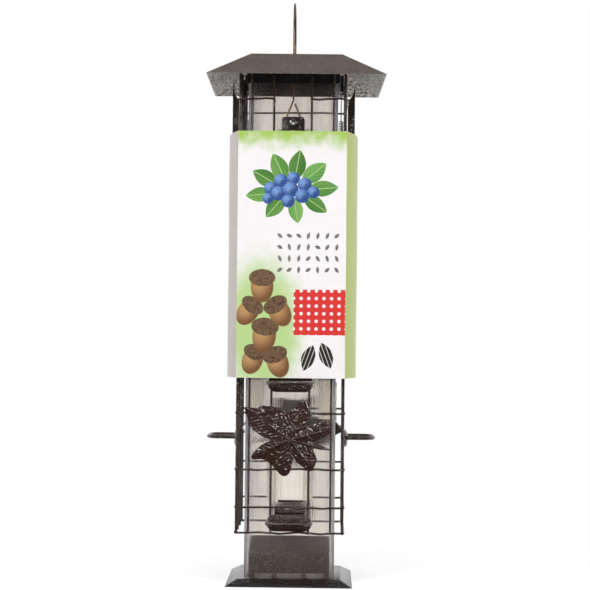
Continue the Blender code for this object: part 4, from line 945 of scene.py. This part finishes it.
for px, py, size in BERRIES:
    lit = oval(tree, where, px - 0.35 * size, py + 0.4 * size, 0, size, size)
    bloom = calc(tree, "MULTIPLY_ADD", fleck, 0.3, fade(tree, lit, 0.0, 1.4), clamp=True)
    disc = within(tree, oval(tree, where, px, py, 20, size, size), 0.94, 1.04)
    ink = tone(tree, disc, ink, tone(tree, bloom, "7fa6dd", "2c4f97"))
    crown = oval(tree, where, px + 0.25 * size, py - 0.2 * size, 0, size, size)
    ring = calc(tree, "ABSOLUTE", calc(tree, "SUBTRACT", crown, 0.22))
    ink = tone(tree, within(tree, ring, 0.04, 0.09), ink, "24396e")
cell = vector(tree, "DIVIDE", where, (7.5, 9.0, 1))
chance = add(tree, "ShaderNodeTexWhiteNoise", {"Vector": vector(tree, "FLOOR", cell)}, noise_dimensions="2D")
spun = swung(tree, about_middle(tree, cell), times(tree, chance, 3.0))
_, aside, _, seed = petal(tree, vector(tree, "DIVIDE", spun, (0.34, 0.17, 1)))
field = times(tree, between(tree, y, 81.0, 117.0), between(tree, x, 30.0, 82.5))
seed = times(tree, field, fade(tree, seed, 0.0, 0.15))
ink = tone(tree, seed, ink, striped(tree, aside, 9.0, 0.55, 0.8, "3a3335", "cfc7c4"))
panel = times(tree, between(tree, y, 34.0, 70.0), calc(tree, "GREATER_THAN", x, 45.0))
spot = about_middle(tree, vector(tree, "DIVIDE", where, (6.0, 6.0, 1)))
dot = within(tree, length(tree, spot), 0.20, 0.25)
ink = tone(tree, panel, ink, tone(tree, dot, "dd2f2a", "f7efee"))
for px, py, turn in ((57, 16, 70), (71, 18, 110)):
    _, aside, _, inside = petal(tree, local(tree, where, px, py, turn, 11, 5.5))
    husk = striped(tree, aside, 12.0, 0.75, 0.9, "231f20", "d8d2cf")
    ink = tone(tree, fade(tree, inside, 0.0, 0.06), ink, husk)
scales = add(tree, "ShaderNodeTexVoronoi", {"Vector": where, "Scale": 0.55}, feature="F1")
for px, py, turn, size in ACORNS:
    nut = within(tree, oval(tree, where, px, py, turn, 11.5 * size, 8.2 * size), 0.95, 1.03)
    lit = oval(tree, where, px - 2.5, py + 2.5, turn, 13 * size, 11 * size)
    grain = calc(tree, "MULTIPLY_ADD", fleck, 0.35, fade(tree, lit, 0.0, 1.2), clamp=True)
    ink = tone(tree, nut, ink, tone(tree, grain, "cda069", "7d5330"))
    back, way = 6.5 * size, radians(turn)
    hood = oval(tree, where, px - back * cos(way), py - back * sin(way), turn,
                6.2 * size, 9.6 * size)
    ink = tone(tree, within(tree, hood, 0.95, 1.03), ink,
               tone(tree, scales.outputs["Distance"], "8a6a4c", "4b3524"))
coated(tree, shader, ink)
green_card = plain_card("coated_card_in_plain_green", 0.06, 3.0, "a9b94c", "bcc766")
# The pale grey side's two tones are darkened towards its look in shade: painted shade over the card's own
# grey.
grey_card = plain_card("coated_card_in_pale_grey", 0.05, 4.0, "b7aca4", "c7bdb6")
raw_card, tree, shader = start_finish("uncoated_grey_board")
fibres = clouds(tree, place_in(tree), 1 / 0.0012, 5.0)
feed(shader, {"Base Color": tone(tree, fibres, "a89f94", "c9c2b8"), "Roughness": 0.85})

loop = [(-PANEL_HALF + 2 * PANEL_HALF * step / CARD_STEPS, -PANEL_LINE, CARD_WIDE_MM * step / CARD_STEPS)
        for step in range(CARD_STEPS)]
rise = BULGE - PANEL_HALF
bow = (PANEL_LINE ** 2 + rise ** 2) / (2 * rise)
spread = asin(PANEL_LINE / bow)
for step in range(CARD_STEPS):
    angle = -spread + 2 * spread * step / CARD_STEPS
    loop.append((BULGE - bow + bow * cos(angle), bow * sin(angle), SIDE_MM * step / CARD_STEPS))
loop += [(-px, -py, along) for px, py, along in loop]
loop = [(*spot, index // CARD_STEPS) for index, spot in enumerate(loop)]
count = len(loop)
OUTWARD = (Vector((0, -1)), Vector((1, 0)), Vector((0, 1)), Vector((-1, 0)))
shape = bmesh.new()
layer = shape.loops.layers.uv.new("card_mm")
walls = []
for inset in (0.0, CARD):
    grid = []
    for row in range(CARD_ROWS + 1):
        height = CARD_HIGH * row / CARD_ROWS
        line_verts = []
        for px, py, along, kind in loop:
            out = OUTWARD[kind]
            swell = CARD_SWELL * noise.noise((px * WAVES_ROUND, py * WAVES_ROUND, height * WAVES_UP)) - inset
            line_verts.append(shape.verts.new((px + out.x * swell, py + out.y * swell, CARD_FOOT + height)))
        grid.append(line_verts)
    walls.append(grid)
for number, grid in enumerate(walls):
    for row in range(CARD_ROWS):
        for index in range(count):
            after = (index + 1) % count
            corners = (grid[row][index], grid[row][after], grid[row + 1][after], grid[row + 1][index])
            made = shape.faces.new(corners if number == 0 else corners[::-1])
            along, kind = loop[index][2:]
            made.material_index = (0, 1, 0, 2)[kind] if number == 0 else 3
            made.smooth = True
            wide = (CARD_WIDE_MM if kind in (0, 2) else SIDE_MM) / CARD_STEPS
            for part in made.loops:
                base, up = part.vert in (grid[row][index], grid[row + 1][index]), part.vert in grid[row + 1]
                over = CARD_HIGH_MM * (row + (1 if up else 0)) / CARD_ROWS
                part[layer].uv = (along + (0 if base else wide), over)
for row in (0, CARD_ROWS):
    for index in range(count):
        after = (index + 1) % count
        rim = (walls[0][row][index], walls[1][row][index], walls[1][row][after], walls[0][row][after])
        made = shape.faces.new(rim if row == 0 else rim[::-1])
        made.material_index = 3
bmesh.ops.recalc_face_normals(shape, faces=shape.faces)
sleeve = bpy.data.meshes.new("printed_sleeve")
shape.to_mesh(sleeve)
shape.free()
for finish in (printed, green_card, grey_card, raw_card):
    sleeve.materials.append(finish)
sleeve.set_sharp_from_angle(angle=radians(25))
settle("printed_sleeve", sleeve, "shroud", "printed_card", "card_sleeve")
